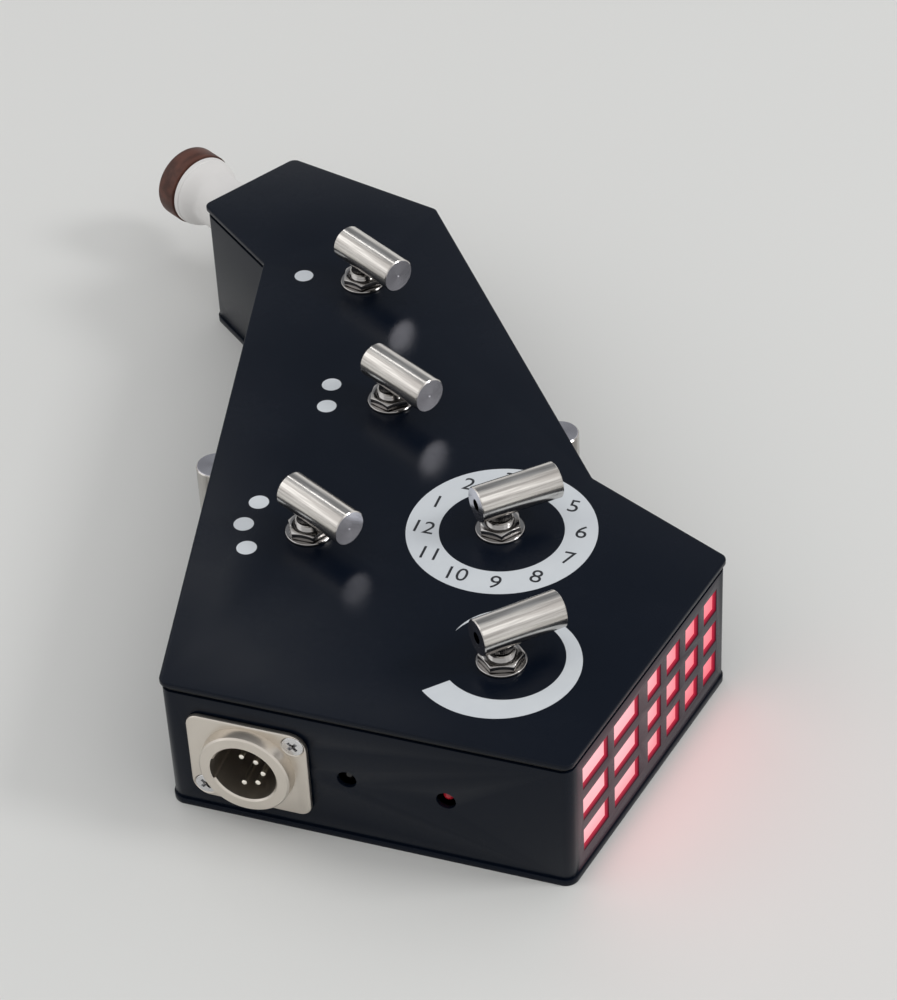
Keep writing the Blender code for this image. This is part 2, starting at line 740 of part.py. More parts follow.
def make_shaft(name):
    pointer = CONTROLS[name][3]
    top = PANEL_TOP + BAR_AXIS_HEIGHT + BORE_PAST_AXIS - SEAT
    low = CAN_TOP - SHAFT_IN_CAN + SEAT
    radius = SHAFT_DIAMETER / 2
    profile = [
        (0.0, top),
        (radius - SHAFT_CHAMFER, top),
        (radius, top - SHAFT_CHAMFER),
        (radius, low),
        (0.0, low),
    ]
    shaft = turned(name + "_shaft", profile, SHAFT_SIDES, control_place(name, 0.0, pointer))
    return finish(shaft, STEEL)


def can_diameter(name):
    return SWITCH_CAN_DIAMETER if name == "selector" else POT_CAN_DIAMETER


def terminal_spots(name):
    """Three terminals in a line behind the can's axis, across the board."""
    row = can_diameter(name) / 2 - TERMINAL_INSET
    return [(step * TERMINAL_SPACING, -row) for step in (-1, 0, 1)]


def make_can(name):
    """The potentiometer or switch under the panel, with its bush up through it."""
    can = can_diameter(name) / 2
    bore = SHAFT_DIAMETER / 2 + RUNNING
    bush = BUSH_DIAMETER / 2
    bush_top = PANEL_TOP + BUSH_HEIGHT
    can_bottom = CAN_TOP - CAN_DEPTH
    profile = [
        (0.0, CAN_TOP - SHAFT_IN_CAN),
        (bore, CAN_TOP - SHAFT_IN_CAN),
        (bore, bush_top),
        (bush, bush_top),
        (bush, CAN_TOP),
        (can, CAN_TOP),
        (can, can_bottom),
        (0.0, can_bottom),
    ]
    suffix = "_switch" if name == "selector" else "_potentiometer"
    place = control_place(name, 0.0)
    body = turned(name + suffix, profile, CAN_SIDES, place)
    end = BOARD_BOTTOM - TERMINAL_END
    pins = []
    for centre in terminal_spots(name):
        pins.append((centre, TERMINAL_DIAMETER / 2, end, can_bottom + ROOT, TERMINAL_SIDES))
    fuse(body, rods(name + "_terminals", pins, place))
    return finish(body, STEEL)


def nut(name, across, thickness, bore_radius, low, place):
    """A six-sided nut whose corners are eased at its upper face."""
    corner = flat_radius(across)
    high = low + thickness
    blank = rods(name, [((0.0, 0.0), corner, low, high, 6)], place)
    lift = thickness / 2
    wide = EASING_REACH * corner
    profile = [
        (0.0, high + lift),
        (across / 2 - lift / tan(NUT_SLOPE), high + lift),
        (wide, high - (wide - across / 2) * tan(NUT_SLOPE)),
        (wide, low - lift),
        (0.0, low - lift),
    ]
    combine(blank, turned(name + "_easing", profile, NUT_SIDES, place), "INTERSECT")
    bore = ((0.0, 0.0), bore_radius, low - thickness, high + thickness, SHAFT_SIDES)
    cut(blank, rods(name + "_bore", [bore], place))
    return finish(blank, STEEL)


def make_nut_and_washer(name):
    inner = BUSH_DIAMETER / 2 + FIT
    low = CLAMP
    high = low + WASHER_THICKNESS
    place = control_place(name, PANEL_TOP)
    outer = WASHER_DIAMETER / 2
    profile = [(inner, low), (inner, high), (outer, high), (outer, low)]
    washer = turned(name + "_washer", profile, SHAFT_SIDES, place, closed=True)
    finish(washer, STEEL)
    turned_place = control_place(name, PANEL_TOP, CONTROLS[name][4] - pi / 2)
    nut(
        name + "_nut", CONTROL_NUT_ACROSS, CONTROL_NUT_THICKNESS, inner, high + CLAMP, turned_place
    )


# Boards
def make_main_board():
    sides = ("front", "light", "shoulder", "right", "tail", "left")
    corners = [CORNERS[WALL_NAMES.index(side)] for side in sides]
    margins = [BOARD_MARGIN] * len(sides)
    margins[sides.index("light")] = OVERHANG + LIGHT_BOARD_BACK + SEAT
    board = slab("main_board", (inset(corners, margins),), BOARD_BOTTOM, BOARD_TOP)
    right = CONNECTOR_ALONG + FLANGE_WIDTH / 2 + NOTCH_MARGIN
    rear = BARREL_DEPTH + CONTACT_TAIL + NOTCH_MARGIN
    notch = ((-FRONT_LENGTH, right), (0.0, 2 * PANEL_TOP), (-rear, 0.0))
    cut(board, boxes("connector_space", [notch], wall_place("front", 0.0, 0.0)))
    below = BOARD_BOTTOM - BOARD_THICKNESS
    above = BOARD_TOP + BOARD_THICKNESS
    holes = []
    for centre in pillar_spots().values():
        holes.append((centre, flat_radius(PILLAR_ACROSS) + SEAT, below, above, PIN_SIDES))
    for name in CONTROLS:
        centre = control_spot(name)
        for x, y in terminal_spots(name):
            where = (centre.x + x, centre.y + y)
            holes.append((where, TERMINAL_DIAMETER / 2 + FIT, below, above, TERMINAL_SIDES))
    for along in INDICATORS.values():
        for side in (-1, 1):
            where = leg_spot(along, side)
            holes.append((where, LEG_WIDTH + FIT, below, above, TERMINAL_SIDES))
    cut(board, rods("board_holes", holes))
    chips = []
    for (width, length), (along, inwards) in zip(CHIP_SIZES, CHIP_SPOTS):
        centre = spot("front", along, inwards)
        across = (centre.x - width / 2, centre.x + width / 2)
        deep = (centre.y - length / 2, centre.y + length / 2)
        chips.append((across, deep, (BOARD_BOTTOM - CHIP_THICKNESS, BOARD_BOTTOM + ROOT)))
    fuse(board, boxes("chips", chips))
    return finish(board, GREEN_BOARD)


def lamp_centres():
    """The middle of each window, along the wall and up it."""
    return [(sum(along) / 2, sum(upright) / 2) for along, upright, _ in window_spans()]


def make_light_unit():
    """The diffuser behind the windows, and the lamps on their board behind it."""
    place = wall_place("light", 0.0, 0.0)
    length = wall_line("light")[3]
    along = (DIFFUSER_MARGIN, length - DIFFUSER_MARGIN)
    upright = (BASE_THICKNESS + SEAT, WALL_TOP - SEAT)
    through = (-DIFFUSER_DEPTH, -WALL_THICKNESS - SEAT)
    finish(boxes("diffuser", [(along, upright, through)], place), OPAL_ACRYLIC)
    upright = (BASE_THICKNESS + SEAT, BASE_THICKNESS + SEAT + LIGHT_BOARD_HEIGHT)
    through = (-LIGHT_BOARD_BACK, -LIGHT_BOARD_FACE)
    board = boxes("light_board", [(along, upright, through)], place)
    lamps = []
    for x, y in lamp_centres():
        across = (x - LAMP_SIZE.x / 2, x + LAMP_SIZE.x / 2)
        up = (y - LAMP_SIZE.y / 2, y + LAMP_SIZE.y / 2)
        lamps.append((across, up, (-LIGHT_BOARD_FACE - ROOT, LAMP_SIZE.z - LIGHT_BOARD_FACE)))
    fuse(board, boxes("light_board_lamps", lamps, place))
    middle = length / 2
    across = (middle - HEADER_LENGTH / 2, middle + HEADER_LENGTH / 2)
    up = (BOARD_BOTTOM - SEAT - HEADER_SECTION, BOARD_BOTTOM - SEAT)
    header = (across, up, (-LIGHT_BOARD_BACK - HEADER_REACH, ROOT - LIGHT_BOARD_BACK))
    fuse(board, boxes("light_board_header", [header], place))
    return finish(board, WHITE_BOARD)


# Connector
def make_connector():
    place = connector_place()
    face = SEAT + FLANGE_THICKNESS
    rim = face + COLLAR_HEIGHT
    socket = SOCKET_DIAMETER / 2
    profile = [
        (0.0, rim),
        (COLLAR_DIAMETER / 2, rim),
        (COLLAR_ROOT_DIAMETER / 2, face),
        (COLLAR_ROOT_DIAMETER / 2, SEAT + FLANGE_THICKNESS / 2),
        (BARREL_DIAMETER / 2, SEAT + FLANGE_THICKNESS / 2),
        (BARREL_DIAMETER / 2, -BARREL_DEPTH),
        (0.0, -BARREL_DEPTH),
    ]
    shell = turned("connector_shell", profile, CONNECTOR_SIDES, place)
    radii = (FLANGE_SCREW_CORNER, FLANGE_CORNER, FLANGE_SCREW_CORNER, FLANGE_CORNER)
    flange = rounded(rectangle_outline(FLANGE_WIDTH, FLANGE_HEIGHT), radii)
    fuse(shell, slab("connector_flange", (flange,), SEAT, face, place))
    bore = ((0.0, 0.0), socket, -2 * BARREL_DEPTH, 2 * rim, CONNECTOR_SIDES)
    cut(shell, rods("socket_cutter", [bore], place))
    cut(shell, key_slot_cutter(socket + KEY_SLOT_DEPTH, 2 * rim, place))
    for index, (x, y) in enumerate(connector_screw_spots(), 1):
        seat = place @ Matrix.Translation((x, y, face - HEAD_SINK))
        profile = sunk_profile(
            CONNECTOR_SCREW_HEAD, CONNECTOR_SCREW_DIAMETER, CONNECTOR_SCREW_LENGTH, FIT
        )
        above = [(0.0, COLLAR_HEIGHT + rim), (profile[1][0], COLLAR_HEIGHT + rim)]
        cut(shell, turned(f"connector_sink_{index}", above + profile[1:], SCREW_SIDES, seat))
        recess = cross_outline(CROSS_WIDTH, CROSS_REACH)
        sunk_screw(
            f"connector_screw_{index}", CONNECTOR_SCREW_HEAD, CONNECTOR_SCREW_DIAMETER,
            CONNECTOR_SCREW_LENGTH, recess, seat,
        )
    finish(shell, PLATED_METAL)
    low = -BARREL_DEPTH + SEAT
    block = ((0.0, 0.0), socket - SEAT, low, -INSERT_FACE_DEPTH, CONNECTOR_SIDES)
    insert = rods("connector_insert", [block], place)
    holes = []
    for index in range(CONTACT_COUNT):
        angle = (index - (CONTACT_COUNT - 1) / 2) * CONTACT_STEP
        centre = (CONTACT_CIRCLE / 2 * cos(angle), CONTACT_CIRCLE / 2 * sin(angle))
        holes.append((centre, CONTACT_DIAMETER / 2 + FIT, -2 * BARREL_DEPTH, 0.0, PIN_SIDES))
        make_contact(index + 1, place @ Matrix.Translation((*centre, 0.0)), rim)
    cut(insert, rods("contact_cutter", holes, place))
    return finish(insert, BLACK_PLASTIC)


def key_slot_cutter(radius, high, place):
    """The wide shallow slot in the socket's left side, down to the insert's face."""
    ring = ((0.0, 0.0), radius, -INSERT_FACE_DEPTH, high, CONNECTOR_SIDES)
    cutter = rods("key_slot", [ring], place)
    half = KEY_SLOT_WIDTH / 2
    side = ((-2 * radius, 0.0), (-half, half), (-2 * BARREL_DEPTH, 2 * high))
    return combine(cutter, boxes("key_slot_side", [side], place), "INTERSECT")


def dome(radius, height, tip, steps):
    """A profile's points from a rounded tip down to its full radius."""
    points = []
    for step in range(steps + 1):
        angle = pi / 2 * step / steps
        points.append((radius * sin(angle), tip - height * (1 - cos(angle))))
    return points


def make_contact(number, place, rim):
    radius = CONTACT_DIAMETER / 2
    thin = CONTACT_TAIL_DIAMETER / 2
    tail = -BARREL_DEPTH - CONTACT_TAIL
    profile = dome(radius, CONTACT_DOME, rim - CONTACT_SETBACK, ROUND_STEPS)
    profile += [(radius, -BARREL_DEPTH), (thin, -BARREL_DEPTH), (thin, tail), (0.0, tail)]
    return finish(turned(f"connector_contact_{number}", profile, PIN_SIDES, place), GOLD_PLATED)


# Indicator lamps
def leg_spot(along, side):
    depth = OVERHANG + LAMP_SETBACK + LAMP_LENGTH + LEG_RUN
    return spot("front", along + side * LEG_SPACING / 2, depth)


def make_indicator(name, along):
    """A small lamp that looks out of its hole, on two legs bent up into the board."""
    place = wall_place("front", along, INDICATOR_HEIGHT)
    radius = LAMP_DIAMETER / 2
    foot = -LAMP_SETBACK - LAMP_LENGTH
    shoulder = foot + LAMP_RIM_LENGTH
    rim = LAMP_RIM_DIAMETER / 2
    profile = dome(radius, radius, -LAMP_SETBACK, LAMP_DOME_STEPS)
    profile += [(radius, shoulder), (rim, shoulder), (rim, foot), (0.0, foot)]
    lamp = turned(name + "_indicator", profile, LAMP_SIDES, place)
    half = LEG_WIDTH / 2
    end = BOARD_TOP + LEG_END - INDICATOR_HEIGHT
    bend = [
        Vector((foot + LEG_ROOT, -half)),
        Vector((foot + LEG_ROOT, half)),
        Vector((foot - LEG_RUN + half, half)),
        Vector((foot - LEG_RUN + half, end)),
        Vector((foot - LEG_RUN - half, end)),
        Vector((foot - LEG_RUN - half, -half)),
    ]
    for side in (-1, 1):
        offset = Matrix.Translation((side * LEG_SPACING / 2, 0.0, 0.0))
        upright = place @ offset @ Matrix.Rotation(-pi / 2, 4, "Y")
        fuse(lamp, slab(f"{name}_leg_{side}", (bend,), -half, half, upright))
    return finish(lamp, RED_LENS)


# Touch grips
def make_grip(name, wall, along):
    """A rod with a flat back, and the spigot that holds it in the wall."""
    face = wall_place(wall, along, GRIP_BOTTOM + GRIP_LENGTH / 2)
    upright = face @ Matrix.Translation((0.0, 0.0, GRIP_AXIS)) @ Matrix.Rotation(-pi / 2, 4, "X")
    radius = GRIP_DIAMETER / 2
    half = GRIP_LENGTH / 2
    profile = [
        (0.0, half),
        (radius - GRIP_CHAMFER, half),
        (radius, half - GRIP_CHAMFER),
        (radius, GRIP_CHAMFER - half),
        (radius - GRIP_CHAMFER, -half),
        (0.0, -half),
    ]
    grip = turned(name + "_touch_grip", profile, GRIP_SIDES, upright)
    wide = GRIP_DIAMETER
    back = ((-wide, wide), (-GRIP_LENGTH, GRIP_LENGTH), (SEAT - GRIP_DIAMETER, SEAT))
    cut(grip, boxes(name + "_grip_back", [back], face))
    spigot = ((0.0, 0.0), GRIP_SPIGOT / 2, -WALL_THICKNESS - GRIP_SPIGOT_END, GRIP_AXIS, PIN_SIDES)
    fuse(grip, rods(name + "_grip_spigot", [spigot], face))
    return finish(grip, BRUSHED_METAL)


# Mouthpiece
def cup_outside():
    """The cup's outer side, from its lip down to the stem's end."""
    cup = CUP_DIAMETER / 2
    neck = NECK_DIAMETER / 2
    lip = CUP_LIP_DIAMETER / 2
    profile = [(lip, CUP_LENGTH + CUP_LIP), (lip, CUP_LENGTH), (cup, CUP_LENGTH)]
    flare_top = CUP_LENGTH - CUP_RIM
    for step in range(FLARE_STEPS + 1):
        share = step / FLARE_STEPS
        ease = (1 - cos(pi * share)) / 2
        profile.append((cup + (neck - cup) * ease, flare_top - CUP_FLARE * share))
    foot = NECK_FOOT_DIAMETER / 2
    profile += [(neck, SEAT + NECK_FOOT), (foot, SEAT)]
    stem = STEM_DIAMETER / 2
    profile += [(stem, SEAT), (stem, -STEM_LENGTH)]
    return profile


def make_mouthpiece():
    place = mouth_place()
    pocket = CAPSULE_DIAMETER / 2 + SEAT
    cable = CABLE_BORE / 2
    funnel = FUNNEL_DIAMETER / 2
    inside = [
        (cable, -STEM_LENGTH),
        (cable, CAPSULE_START - SEAT),
        (pocket, CAPSULE_START - SEAT),
        (pocket, FUNNEL_START),
        (funnel, CUP_LENGTH + CUP_LIP),
    ]
    cup = turned("mouthpiece_cup", inside + cup_outside(), CUP_SIDES, place, closed=True)
    finish(cup, SATIN_WHITE)
    low = CUP_LENGTH + SEAT
    high = low + RING_LENGTH
    outer = RING_DIAMETER / 2
    lip = CUP_LIP_DIAMETER / 2 + SEAT
    shelf = CUP_LENGTH + CUP_LIP + SEAT
    profile = [(lip, low), (lip, shelf), (funnel, shelf), (funnel, high - RING_ROUND)]
    profile += round_over(funnel + RING_ROUND, high - RING_ROUND, pi, 0.5 * pi)
    profile += round_over(outer - RING_ROUND, high - RING_ROUND, 0.5 * pi, 0.0)
    profile += [(outer, low + RING_FOOT), (outer - RING_FOOT, low)]
    finish(turned("mouthpiece_ring", profile, CUP_SIDES, place, closed=True), BROWN_WOOD)
    radius = CAPSULE_DIAMETER / 2
    end = CAPSULE_START + CAPSULE_LENGTH
    profile = [
        (0.0, end - CAPSULE_FACE_DEPTH),
        (CAPSULE_FACE_DIAMETER / 2, end - CAPSULE_FACE_DEPTH),
        (CAPSULE_FACE_DIAMETER / 2, end),
        (radius, end),
        (radius, CAPSULE_START),
        (0.0, CAPSULE_START),
    ]
    finish(turned("microphone_capsule", profile, CAPSULE_SIDES, place), STEEL)
    low = -WALL_THICKNESS - SEAT - MOUTH_NUT_THICKNESS
    bore = STEM_DIAMETER / 2 + FIT
    nut("mouthpiece_nut", MOUTH_NUT_ACROSS, MOUTH_NUT_THICKNESS, bore, low, place)


def round_over(radius, height, start, end):
    """A quarter round in a profile, between two angles, without its first point."""
    points = []
    for step in range(1, ROUND_STEPS + 1):
        angle = start + (end - start) * step / ROUND_STEPS
        points.append((radius + RING_ROUND * cos(angle), height + RING_ROUND * sin(angle)))
    return points


def build():
    make_bottom_plate()
    make_wall_frame()
    make_top_seal()
    make_top_panel()
    for name, centre in pillar_spots().items():
        make_pillar_and_screw(name, centre)
    make_main_board()
    make_light_unit()
    for name in CONTROLS:
        make_can(name)
        make_shaft(name)
        make_nut_and_washer(name)
        make_knob(name)
    make_connector()
    for name, along in INDICATORS.items():
        make_indicator(name, along)
    for name, (wall, along) in GRIPS.items():
        make_grip(name, wall, along)
    make_mouthpiece()
    bpy.context.view_layer.update()
    for thing in PARTS.objects:
        settle(thing)


build()
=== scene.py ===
"""Looks of the handheld synthesizer: fine surfaces, finishes, prints, glow and studio light."""
import json
from math import atan2, cos, pi, radians, sin, tan

import bmesh
import bpy
from mathutils import Matrix, Vector


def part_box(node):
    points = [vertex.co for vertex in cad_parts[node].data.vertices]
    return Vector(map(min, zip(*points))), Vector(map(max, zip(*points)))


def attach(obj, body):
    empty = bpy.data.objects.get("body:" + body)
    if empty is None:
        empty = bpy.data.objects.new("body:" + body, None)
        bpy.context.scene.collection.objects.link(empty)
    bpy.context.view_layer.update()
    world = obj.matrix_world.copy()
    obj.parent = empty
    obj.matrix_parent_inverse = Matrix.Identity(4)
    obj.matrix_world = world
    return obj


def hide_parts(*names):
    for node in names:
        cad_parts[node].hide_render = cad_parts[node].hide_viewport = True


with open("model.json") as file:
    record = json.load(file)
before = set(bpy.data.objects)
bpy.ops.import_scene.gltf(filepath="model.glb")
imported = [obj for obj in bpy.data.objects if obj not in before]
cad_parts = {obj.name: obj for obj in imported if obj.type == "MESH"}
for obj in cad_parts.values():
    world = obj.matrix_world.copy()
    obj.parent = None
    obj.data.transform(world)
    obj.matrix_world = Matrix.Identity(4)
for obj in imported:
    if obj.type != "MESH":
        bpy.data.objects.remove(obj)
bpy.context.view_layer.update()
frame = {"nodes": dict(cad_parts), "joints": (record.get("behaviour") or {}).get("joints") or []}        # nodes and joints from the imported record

MM = 0.001
SAME = 0.001 * MM  # points nearer than this are one

# Housing outline: each wall's length and heading in degrees, counter-clockwise from the front left corner
FRONT_LEFT = Vector((-20.0, -110.0)) * MM
WALLS = {
    "front": (103.5 * MM, 0.0),
    "light": (83.3 * MM, 79.1),
    "shoulder": (46.1 * MM, 153.8),
    "right": (129.1 * MM, 127.0),
    "tail": (50.2 * MM, 164.7),
    "mouth": (33.4 * MM, 240.0),
    "notch": (35.0 * MM, -39.2),
}
WALL_NAMES = (*WALLS, "left")
HOLLOW_CORNERS = ("right", "left")  # walls that start at an inward corner
OVERHANG = 0.4 * MM
WALL_THICKNESS = 1.2 * MM
BEND_INSIDE = 1.8 * MM
BEND_OUTSIDE = BEND_INSIDE + WALL_THICKNESS
PANEL_CORNER = 2.4 * MM
BASE_CORNER = 3.4 * MM
SEAL_RECESS = 0.5 * MM
SEAL_WIDTH = 1.5 * MM
CORNER_STEPS = 10
EDGE = 0.25 * MM  # rounding of the panel's rim
CUT_EDGE = 0.1 * MM  # rounding of the edges of holes and windows

# Lit wall
WINDOW = 7.1 * MM
WIDE_WINDOW = 12.85 * MM
WINDOW_PITCH = 10.2 * MM
WINDOW_ROWS = 3
WINDOW_COLUMNS = 4
WIDE_COLUMNS = 2
WINDOW_START = 40.1 * MM
WIDE_START = 6.6 * MM
WINDOW_MIDDLE = 20.3 * MM
# GLOW_ENDS and GLOW_HEIGHTS bound the painted glow in the lit wall's paint; GLOW_SIZE and GLOW_GAP place
# the lamp in front of the windows
GLOW_ENDS = (3 * MM, 5 * MM)  # from the wall's two ends
GLOW_HEIGHTS = (4 * MM, 5 * MM, 35 * MM, 36 * MM)
GLOW_SIZE = (74 * MM, 27 * MM)
GLOW_GAP = 0.6 * MM

# Controls
CONTROLS = ("one_dot", "two_dot", "three_dot", "selector", "level")
BAR_DIAMETER = 9.5 * MM
BAR_LENGTH = 22.2 * MM
BAR_SHORT_END = 6.3 * MM
BAR_CHAMFER = 0.25 * MM
BAR_AXIS_HEIGHT = 10.3 * MM
GRUB_HOLE = 3.0 * MM
GRUB_DEPTH = 1.6 * MM
GRUB_HEX = 1.5 * MM
GRUB_END = 0.2 * MM  # from the shaft
GRUB_GAP = 0.05 * MM
GRUB_EDGE = 0.08 * MM
CENTRE_MARK = 0.35 * MM
CENTRE_DEPTH = 0.3 * MM
BORE_TOP = 1.5 * MM  # past the bar's axis
SHAFT_DIAMETER = 6.0 * MM
SHAFT_TEETH = 36
TOOTH_DEPTH = 0.28 * MM
BUSH_DIAMETER = 7.0 * MM
BUSH_HEIGHT = 4.3 * MM
THREAD_PITCH = 0.75 * MM
THREAD_DEPTH = 0.35 * MM
THREAD_START = 0.2 * MM  # below the bush's end
NUT_ACROSS = 10.0 * MM
NUT_SLOPE = radians(28)
NUT_FACE = 0.97  # of the distance across flats
NUT_UNDERSIDE = 0.985
NUT_EASE = 0.3 * MM
NUT_EDGE = 0.06 * MM
WASHER_EASE = 0.15 * MM
SWITCH_CAN = 25.0 * MM
POT_CAN = 17.0 * MM
CAN_EDGE = 0.5 * MM
SHAFT_IN_CAN = 5.0 * MM
TERMINAL_DIAMETER = 1.0 * MM
TERMINAL_SPACING = 5.0 * MM
TERMINAL_INSET = 4.0 * MM
TERMINAL_ROOT = 0.5 * MM
BUSH_GAP = 0.1 * MM  # round the shaft
FIT = 0.15 * MM
SEAT = 0.3 * MM

# Connector
CONNECTOR_ALONG = 22.2 * MM
CONNECTOR_HEIGHT = 19.7 * MM
FLANGE_WIDTH = 31.0 * MM
FLANGE_HEIGHT = 26.0 * MM
FLANGE_CORNER = 3.2 * MM
FLANGE_SCREW_CORNER = 4.6 * MM  # of the two corners that hold screws
FLANGE_FACE = 1.8 * MM  # of the flange's front face from the wall
FLANGE_EDGE = 0.35 * MM
COLLAR_HEIGHT = 3.3 * MM
COLLAR_ROOT = 24.0 * MM
COLLAR_DIAMETER = 23.4 * MM
BARREL_DIAMETER = 22.2 * MM
BARREL_DEPTH = 16.0 * MM
SOCKET_DIAMETER = 16.5 * MM
RIM_CHAMFER = 0.45 * MM
SHELL_OVERLAP = 0.5 * MM  # of the collar and the flange
INSERT_FACE = 9.0 * MM
KEY_SLOT_WIDTH = 6.4 * MM
KEY_SLOT_DEPTH = 0.5 * MM
CONTACT_CIRCLE = 8.8 * MM
CONTACT_DIAMETER = 1.5 * MM
CONTACT_DOME = 0.55 * MM
CONTACT_SETBACK = 1.35 * MM
CONTACT_TAIL = 4.0 * MM
CONTACT_TAIL_DIAMETER = 1.1 * MM
CONTACT_COUNT = 5
CONTACT_STEP = radians(50.5)
CONNECTOR_SCREW = Vector((12.0, 9.5)) * MM
SCREW_HEAD = 5.6 * MM
SCREW_SHANK = 2.9 * MM
SCREW_LENGTH = 8.0 * MM
HEAD_SINK = 0.1 * MM
HEAD_EDGE = 0.15 * MM
HEAD_MARGIN = 0.3 * MM
CROSS_WIDTH = 0.85 * MM
CROSS_SPAN = 3.1 * MM
CROSS_DEPTH = 1.8 * MM
CROSS_TURN = radians(45)
BASE_SCREW_HEAD = 5.4 * MM
BASE_SCREW_HEX = 1.15 * MM  # from its middle to a corner
BASE_SCREW_RECESS = 1.4 * MM

# Lamps, grips and mouthpiece
INDICATORS = {"left": 46.9 * MM, "right": 72.1 * MM}
INDICATOR_HEIGHT = 20.2 * MM
INDICATOR_HOLE = 5.0 * MM
LAMP_DIAMETER = 3.0 * MM
LAMP_SETBACK = 1.3 * MM
LAMP_LENGTH = 6.7 * MM
LAMP_RIM = 3.8 * MM
LAMP_RIM_LENGTH = 1.0 * MM
LEG_WIDTH = 0.6 * MM
LEG_SPACING = 2.54 * MM
LEG_RUN = 2.5 * MM
LEG_END = 0.5 * MM  # past the board
GRIPS = {"left": ("left", -90.0 * MM), "right": ("right", 27.9 * MM)}
GRIP_DIAMETER = 10.0 * MM
GRIP_LENGTH = 28.0 * MM
GRIP_BOTTOM = 6.2 * MM
GRIP_AXIS = 1.6 * MM
GRIP_CHAMFER = 0.4 * MM
GRIP_SPIGOT = 5.0 * MM
SPIGOT_END = 0.8 * MM  # past the wall's inner face
MOUTH_ALONG = 14.6 * MM
MOUTH_HEIGHT = 23.0 * MM
STEM_DIAMETER = 12.8 * MM
MOUTH_STEPS = 8  # of each rounding and half a flare

# Outlines of the mouthpiece's pieces in millimetres: radius, then height from the wall
CUP_INSIDE = ((4.2, -9.0), (4.2, 8.0), (5.3, 8.0), (5.3, 16.0), (8.0, 31.5), (9.0, 31.5), (9.0, 27.9))
CUP_RIM = ((10.25, 27.9), (10.55, 27.6), (10.55, 26.12))
CUP_FLARE = ((10.33, 25.9), (8.1, 19.9))
CUP_FOOT = ((8.1, 2.3), (8.4, 1.5), (9.0, 0.6), (9.0, 0.3), (6.4, 0.3), (6.4, -9.0))
WOOD_SEAT = ((9.3, 28.2), (9.3, 31.8), (8.0, 31.8), (8.0, 34.2))
WOOD_ROUNDING = 1.2
WOOD_MIDDLES = ((9.2, 34.2), (9.8, 34.2))
WOOD_BACK = ((11.0, 28.6), (10.88, 28.32), (10.6, 28.2))
CAPSULE = ((0.0, 14.4), (3.6, 14.4), (3.8, 14.8), (4.7, 14.8), (5.0, 14.5), (5.0, 8.3), (0.0, 8.3))

# Prints on the panel; the dots' centres are in millimetres
INK = 0.03 * MM
INK_ROOT = 0.01 * MM
DOT = 5.2 * MM
DOTS = {
    "one_dot": ((-44.7, 54.7),),
    "two_dot": ((-20.1, 10.5), (-18.1, 1.4)),
    "three_dot": ((-21.0, -40.5), (-21.6, -49.6), (-17.5, -58.0)),
}
RING_SHIFT = Vector((0.55, -0.25)) * MM  # of the ring's centre from the selector's axis
RING_OUTER = 24.25 * MM
RING_INNER = 15.87 * MM
RING_MARKS = 12
FIRST_MARK = radians(163)
NUMBER_SIZE = 6.6 * MM
CRESCENT_START = radians(-135)
CRESCENT_TURN = radians(288)
CRESCENT_STEPS = 96

# The crescent's two edges, in millimetres: factors of the powers of the share of its turn
CRESCENT_OUTER = (21.28, -8.65, 9.01, 10.66, -16.49)
CRESCENT_INNER = (13.88, -7.39, 29.58, -16.74, -3.53)

# Sides of round forms
HEX = 6
PIN_SIDES = 12
HOLE_SIDES = 24
ROD_SIDES = 32
SCREW_SIDES = 40
SHAFT_SIDES = 48
DISC_SIDES = 64
NUT_SIDES = 72
BAR_SIDES = 96
RING_SIDES = 128

# Camera: place in metres, angles in degrees, lens in millimetres
CAMERA_PLACE = (0.2501, -0.6206, 0.5703)
CAMERA_ANGLES = (-20.719, 39.830, 3.0615)
CAMERA_LENS = 117.05
CAMERA_SENSOR = 36.0

# The way that the room is darker: where the panel's mirror image of it comes from
DARK_SIDE = Vector((-0.30, 0.70, 0.65))
DARK_ANGLES = (radians(34), radians(9))


# Shader nodes
def operator(operation, swapped=False):
    """A method that does a Term's arithmetic by one maths node."""
    def method(self, other):
        pair = (other, self) if swapped else (self, other)
        return self.look.node("Math", {"operation": operation}, dict(enumerate(pair)))
    return method


class Term:
    """A shader socket that takes part in arithmetic."""

    def __init__(self, look, socket):
        self.look = look
        self.socket = socket

    __add__ = operator("ADD")
    __radd__ = operator("ADD", True)
    __sub__ = operator("SUBTRACT")
    __rsub__ = operator("SUBTRACT", True)
    __mul__ = operator("MULTIPLY")
    __truediv__ = operator("DIVIDE")
    __pow__ = operator("POWER")


def opaque(colour):
    return colour if isinstance(colour, Term) else (*colour, 1.0)


